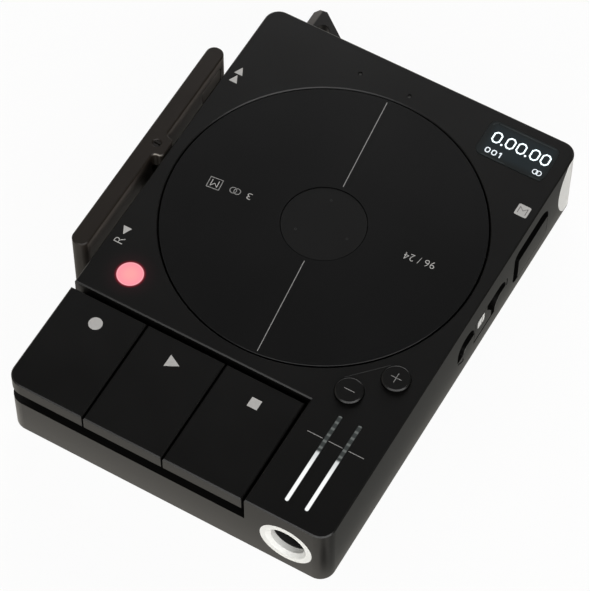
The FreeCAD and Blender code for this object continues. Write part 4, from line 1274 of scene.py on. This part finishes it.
@dataclass
class Display:
    """The lit symbols on the screen and the painted highlights along the edges of its glass."""

    level: float = 16.45
    digit_y: float = 43.25
    digit_size: Pair = (1.88, 2.66)
    digit_xs: Sequence[float] = (19.15, 22.05, 24.4, 27.3, 29.6)
    stroke: float = 0.3
    point_y: float = 42.12
    point_xs: Pair = (20.6, 25.75)
    point_radius: float = 0.23
    count_y: float = 39.85
    count_xs: Pair = (18.85, 20.25)
    count_size: Pair = (1.05, 1.26)
    one_x: float = 21.6
    one_width: float = 0.23
    flag_step: Pair = (-0.22, 0.43)
    flag_size: Pair = (0.22, 0.42)
    ring_spot: Pair = (29.47, 39.88)
    ring_radius: float = 0.6
    ring_stroke: float = 0.17
    ring_apart: float = 0.76
    # Painted highlights along the glass edges.
    edges: Sequence[tuple[str, Pair, Pair, float]] = (
        ("top", (17.9, 46.35), (30.4, 46.35), 0.3),
        ("count", (18.0, 38.5), (23.2, 38.5), 0.27),
        ("rings", (28.3, 38.55), (30.9, 38.55), 0.22),
    )
    # An arc of painted highlight at one corner of the glass.
    corner: Sequence[float] = (18.3, 45.0, 1.55)

    def build(self) -> None:
        """The time, the count, the rings and the painted highlights on the glass edges."""
        lit = Printer(Body.CASE, self.level, GLYPH, Slot.SCREEN)
        start = self.digit_xs[0]
        zero = lit.box("display_zero_0", start, self.digit_y, *self.digit_size, corner=0.56,
                       steps=1, stroke=self.stroke)
        for number, x in enumerate(self.digit_xs[1:], 1):
            lit.repeat(zero, f"display_zero_{number}", x - start, 0.0)
        left, right = self.point_xs
        point = lit.disc("display_point_0", left, self.point_y, self.point_radius, points=16)
        lit.repeat(point, "display_point_1", right - left, 0.0)
        self._count(Printer(Body.CASE, self.level, GLYPH_SOFT, Slot.SCREEN))
        # Painted highlights along the glass edges and at its corner.
        edge = Printer(Body.CASE, self.level, GLASS_GLINT, Slot.SCREEN)
        for name, start, end, width in self.edges:
            edge.line(f"display_highlight_{name}", start, end, width)
        edge.disc("display_highlight_corner", *self.corner, stroke=0.3, span=(95.0, 165.0), points=60)

    def _count(self, soft: Printer) -> None:
        """Two zeros and a one, and the linked rings.

        Args:
            soft: The printer of the weaker light.
        """
        left, right = self.count_xs
        tall = self.count_size[1]
        zero = soft.box("display_count_zero_0", left, self.count_y, *self.count_size, corner=0.3,
                        steps=1, stroke=0.22)
        soft.repeat(zero, "display_count_zero_1", right - left, 0.0)
        soft.box("display_count_one", self.one_x, self.count_y, self.one_width, tall, corner=0.04)
        aside, up = self.flag_step
        soft.box("display_count_flag", self.one_x + aside, self.count_y + up, *self.flag_size,
                 corner=0.04, tilt=-38.0)
        soft.rings("display_ring", *self.ring_spot, self.ring_radius, self.ring_stroke,
                   self.ring_apart)


def onto_wall(face: float) -> Matrix:
    """The turn that takes a print laid flat to the wall at x = face, seen from the right.

    Args:
        face: The wall's place across, in millimetres.

    Returns:
        The turn: what was laid out along x and y goes along y and z.
    """
    upright = Matrix(((0, 0, 1, 0), (1, 0, 0, 0), (0, 1, 0, 0), (0, 0, 0, 1)))
    return Matrix.Translation((face * MM, 0, 0)) @ upright


@dataclass
class SideMarks:
    """The symbol on the tab of the right wall, and painted highlights and painted shade at the
    finger scoops.
    """

    symbol_spot: Pair = (9.75, 8.6)
    symbol_size: Pair = (2.7, 2.5)
    symbol_height: float = 0.004
    bar_spot: Pair = (10.1, 8.6)
    bar_size: Pair = (0.25, 1.9)
    bar_height: float = 0.003
    wall_height: float = 0.006
    # Painted highlights along the scoops' rounded edges.
    edges: Sequence[tuple[str, Spot, Pair, int]] = (
        ("scoop_glint_rear", (18.3, 4.7, 2.78), (98.0, 166.0), 60),
        ("scoop_glint_front", (4.25, 6.3, 1.18), (85.0, 176.0), 48),
    )
    glint_stroke: float = 0.17
    # Painted shade lines at the ends of the finger scoops.
    shade_lines: Sequence[tuple[str, Pair, Pair]] = (
        ("scoop_tick_rear", (20.1, 9.3), (20.3, 8.4)),
        ("scoop_tail_rear", (20.3, 8.4), (20.2, 6.9)),
        ("scoop_tick_front", (2.9, 4.7), (3.1, 3.6)),
        ("scoop_tail_front", (3.1, 3.6), (0.9, 5.2)),
    )
    shade_line_stroke: float = 0.34

    def build(self) -> None:
        """A small filled symbol with a dark bar, then painted highlights and painted shade lines.
        """
        wall = onto_wall(WALL)
        symbol = Printer(Body.TAB, 0.0, WHITE, height=self.symbol_height, turn=wall)
        symbol.box("tab_symbol", *self.symbol_spot, *self.symbol_size, corner=0.45, steps=4)
        bar = Printer(Body.TAB, self.symbol_height, GREY_INK, height=self.bar_height, turn=wall)
        bar.box("tab_bar", *self.bar_spot, *self.bar_size, corner=0.1, tilt=-14.0)
        case = Printer(Body.CASE, 0.0, EDGE, Slot.CASE, height=self.wall_height, turn=wall)
        # Painted highlights along the scoops' edges, then painted shade lines at their ends.
        for name, circle, span, points in self.edges:
            case.disc(name, *circle, stroke=self.glint_stroke, span=span, points=points)
        for name, start, end in self.shade_lines:
            case.line(name, start, end, self.shade_line_stroke, SHADE_LINE)


@dataclass
class MicrophoneMesh:
    """The fine mesh across each of the deck's two microphone holes."""

    places: Sequence[Pair] = ((-11.1, 43.4), (-0.2, 43.4))
    level: float = 16.12
    radius: float = 0.3

    def build(self) -> None:
        """One disc of mesh a little below the deck, and its copy."""
        mesh = Printer(Body.CASE, self.level, MESH, Slot.STEEL)
        left, right = self.places
        disc = mesh.disc("microphone_mesh_left", *left, self.radius, points=24)
        mesh.repeat(disc, "microphone_mesh_right", right[0] - left[0], right[1] - left[1])


@dataclass
class LeverPad:
    """The grip pad in the pocket of the lever's inner wall."""

    floor: float = -36.8
    spot: Pair = (29.1, 11.6)
    size: Pair = (6.7, 3.5)
    proud: float = 0.34

    def build(self) -> None:
        """A low pad with round corners."""
        wall = onto_wall(self.floor)
        pad = Printer(Body.ROCKER, 0.0, PAD, Slot.BLACK, height=self.proud, turn=wall)
        pad.box("lever_pad", *self.spot, *self.size, corner=0.5, steps=4)


@dataclass
class Studio:
    """Camera, pale floor, lamps and sky."""

    eye: Spot = (153.774, -271.319, 508.616)
    right: Spot = (0.866783, 0.498679, 0.002617)
    down: Spot = (0.425434, -0.736712, -0.525606)
    ahead: Spot = (-0.260181, 0.456699, -0.850724)
    focal_pixels: float = 3108.0
    frame_pixels: float = 590.0
    sensor: float = 36.0
    clip: Pair = (0.01, 20.0)
    sky: float = 0.012
    sky_colour: Colour = (1.0, 0.99, 0.97)
    floor_radius: float = 1.3
    floor_corners: int = 96
    floor_drop: float = 0.0001
    sweep: Sequence[Pair] = ((0.03, 1.1), (0.1, 1.07), (0.2, 1.04), (0.35, 1.02))
    paints: tuple[Colour, Colour] = ((0.88, 0.865, 0.83), (0.9, 0.885, 0.85))
    paint_patch: float = 60.0
    floor_show: float = 0.95
    mirror_show: float = 0.9
    # Painted reflections: the tones the floor shows to glossy rays, darker beside the right wall.
    front_reflection: Colour = (1.04, 0.99, 0.90)
    side_reflection_shade: Colour = (0.28, 0.28, 0.26)
    side_from: Pair = (32.0, 36.0)
    side_behind: Pair = (-53.0, -45.0)
    # A painted shade spot on the floor, seen only in reflections, by the front right corner.
    corner_shade_spot: Pair = (37.0, -51.8)
    corner_shade_reach: Pair = (1.5, 5.0)
    half: Pair = (WALL, 49.0)
    # Reflections of the floor are painted darker away from the recorder.
    near: Pair = (-2.0, 7.5)
    far_share: float = 0.55
    lamps: Sequence[tuple[str, Spot, float, float]] = (
        ("rear_lamp", (-0.45, 0.75, 0.42), 0.4, 2.7),
        ("far_lamp", (-0.2, 0.95, 0.28), 0.4, 5.0),
        ("low_lamp", (-0.36, -0.88, 0.12), 0.35, 0.7),
        ("left_lamp", (-0.1, -0.85, 0.35), 0.4, 1.5),
        ("front_lamp", (0.25, -0.85, 0.5), 0.5, 2.4),
        ("corner_lamp", (0.65, -0.62, 0.5), 0.5, 3.0),
        ("right_lamp", (0.9, -0.25, 0.46), 0.5, 3.2),
    )

    def build(self) -> None:
        """Set up everything that isn't part of the recorder."""
        self.camera()
        self.floor()
        self.sky_light()
        for name, place, width, watts in self.lamps:
            self.lamp(name, place, width, watts)

    def camera(self) -> None:
        """The camera at the photograph's viewing angle."""
        data = bpy.data.cameras.new("view")
        data.sensor_fit = "HORIZONTAL"
        data.sensor_width = self.sensor
        data.lens = self.focal_pixels * self.sensor / self.frame_pixels
        data.clip_start, data.clip_end = self.clip
        camera = bpy.data.objects.new("view", data)
        axes = Matrix((self.right, -Vector(self.down), -Vector(self.ahead))).transposed()
        camera.matrix_world = Matrix.Translation(Vector(self.eye) * MM) @ axes.to_4x4()
        bpy.context.scene.collection.objects.link(camera)
        bpy.context.scene.camera = camera

    def floor(self) -> None:
        """A wide pale floor whose rim sweeps up."""
        deselect_all()
        bpy.ops.mesh.primitive_circle_add(
            vertices=self.floor_corners, radius=self.floor_radius, fill_type="NGON",
            location=(0, 0, -self.floor_drop),
        )
        floor = bpy.context.object
        floor.name = "floor"
        bpy.ops.object.mode_set(mode="EDIT")
        bpy.ops.mesh.select_all(action="SELECT")
        bpy.ops.mesh.select_mode(type="EDGE")
        bpy.ops.mesh.region_to_loop()
        for lift, grow in self.sweep:
            bpy.ops.mesh.extrude_edges_move(TRANSFORM_OT_translate={"value": (0, 0, lift)})
            bpy.ops.transform.resize(value=(grow, grow, 1.0), center_override=(0, 0, 0))
        bpy.ops.mesh.select_all(action="SELECT")
        bpy.ops.mesh.normals_make_consistent(inside=True)
        bpy.ops.object.mode_set(mode="OBJECT")
        bpy.ops.object.transform_apply(location=True, rotation=True, scale=True)
        bpy.ops.object.shade_smooth()
        floor.data.materials.append(self.floor_material())
        floor.select_set(False)

    def floor_material(self) -> bpy.types.Material:
        """Matt white that shows as the white background and keeps the shadow.

        In reflections it shows painted light and shade: darker beside the right wall, a painted
        shade spot by the front right corner, and darker away from the recorder.

        Returns:
            The material.
        """
        made = bpy.data.materials.new("studio_floor")
        made.use_nodes = True
        made.node_tree.nodes.clear()
        kit = Nodes(made.node_tree)
        place = kit.place()
        paint = kit.mix(*self.paints, kit.noise(place.vector, self.paint_patch))
        path = kit.add("ShaderNodeLightPath")
        camera = kit.out(path, "Is Camera Ray")
        seen = camera * self.floor_show
        for ray in ("Is Glossy Ray", "Is Transmission Ray"):
            seen = kit.larger(seen, kit.out(path, ray) * self.mirror_show)
        # Painted reflections: darker beside the right wall, at the painted shade spot and away from
        # the recorder.
        beside = place.x.fade(*self.side_from) * place.y.fade(*self.side_behind)
        reflection_tone = kit.mix(self.front_reflection, self.side_reflection_shade, beside)
        dark = 1.0 - kit.distance(place, *self.corner_shade_spot).fade(*self.corner_shade_reach)
        away = kit.larger(abs(place.x) - self.half[0], abs(place.y) - self.half[1])
        dim = kit.larger(away.fade(*self.near) * (1.0 - self.far_share), dark)
        shown = kit.mix(kit.mix(reflection_tone, NOTHING, dim), (1.0, 1.0, 1.0), camera)
        matt = kit.add("ShaderNodeBsdfDiffuse", {}, {"Color": paint})
        white = kit.add("ShaderNodeEmission", {}, {"Color": shown, "Strength": 1.0})
        both = kit.add("ShaderNodeMixShader", {}, {0: seen, 1: kit.out(matt), 2: kit.out(white)})
        kit.add("ShaderNodeOutputMaterial", {}, {"Surface": kit.out(both)})
        return made

    def sky_light(self) -> None:
        """An even grey sky."""
        world = bpy.data.worlds.new("studio_sky")
        world.use_nodes = True
        world.node_tree.nodes.clear()
        kit = Nodes(world.node_tree)
        sockets = {"Color": (*self.sky_colour, 1.0), "Strength": self.sky}
        sky = kit.add("ShaderNodeBackground", {}, sockets)
        kit.add("ShaderNodeOutputWorld", {}, {"Surface": kit.out(sky)})
        bpy.context.scene.world = world

    def lamp(self, name: str, place: Spot, width: float, watts: float) -> None:
        """A square soft lamp aimed at the recorder.

        Args:
            name: The lamp's name.
            place: Where it hangs, in metres.
            width: The side of its face.
            watts: Its power.
        """
        data = bpy.data.lights.new(name, "AREA")
        data.shape, data.size, data.energy = "SQUARE", width, watts
        lamp = bpy.data.objects.new(name, data)
        lamp.location = place
        lamp.rotation_euler = (-Vector(place)).to_track_quat("-Z", "Y").to_euler()
        bpy.context.scene.collection.objects.link(lamp)


def main() -> None:
    """Load the solids, dress them, add the pieces and set up the studio."""
    logging.basicConfig(level=logging.INFO, format="%(message)s")
    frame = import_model()
    bpy.context.scene.view_settings.view_transform = "Standard"
    slots = {part["node"]: part["material_slot"] for part in frame["record"]["subparts"]}
    Solids(frame["nodes"], slots).dress()
    for part in (DeckMarks(), ReelMarks(), KeyMarks(), VolumeMarks(), Display(), SideMarks(),
                 LeverPad(), MicrophoneMesh(), Studio()):
        part.build()
        log.info("%s built", type(part).__name__)


if __name__ == "__main__":
    main()
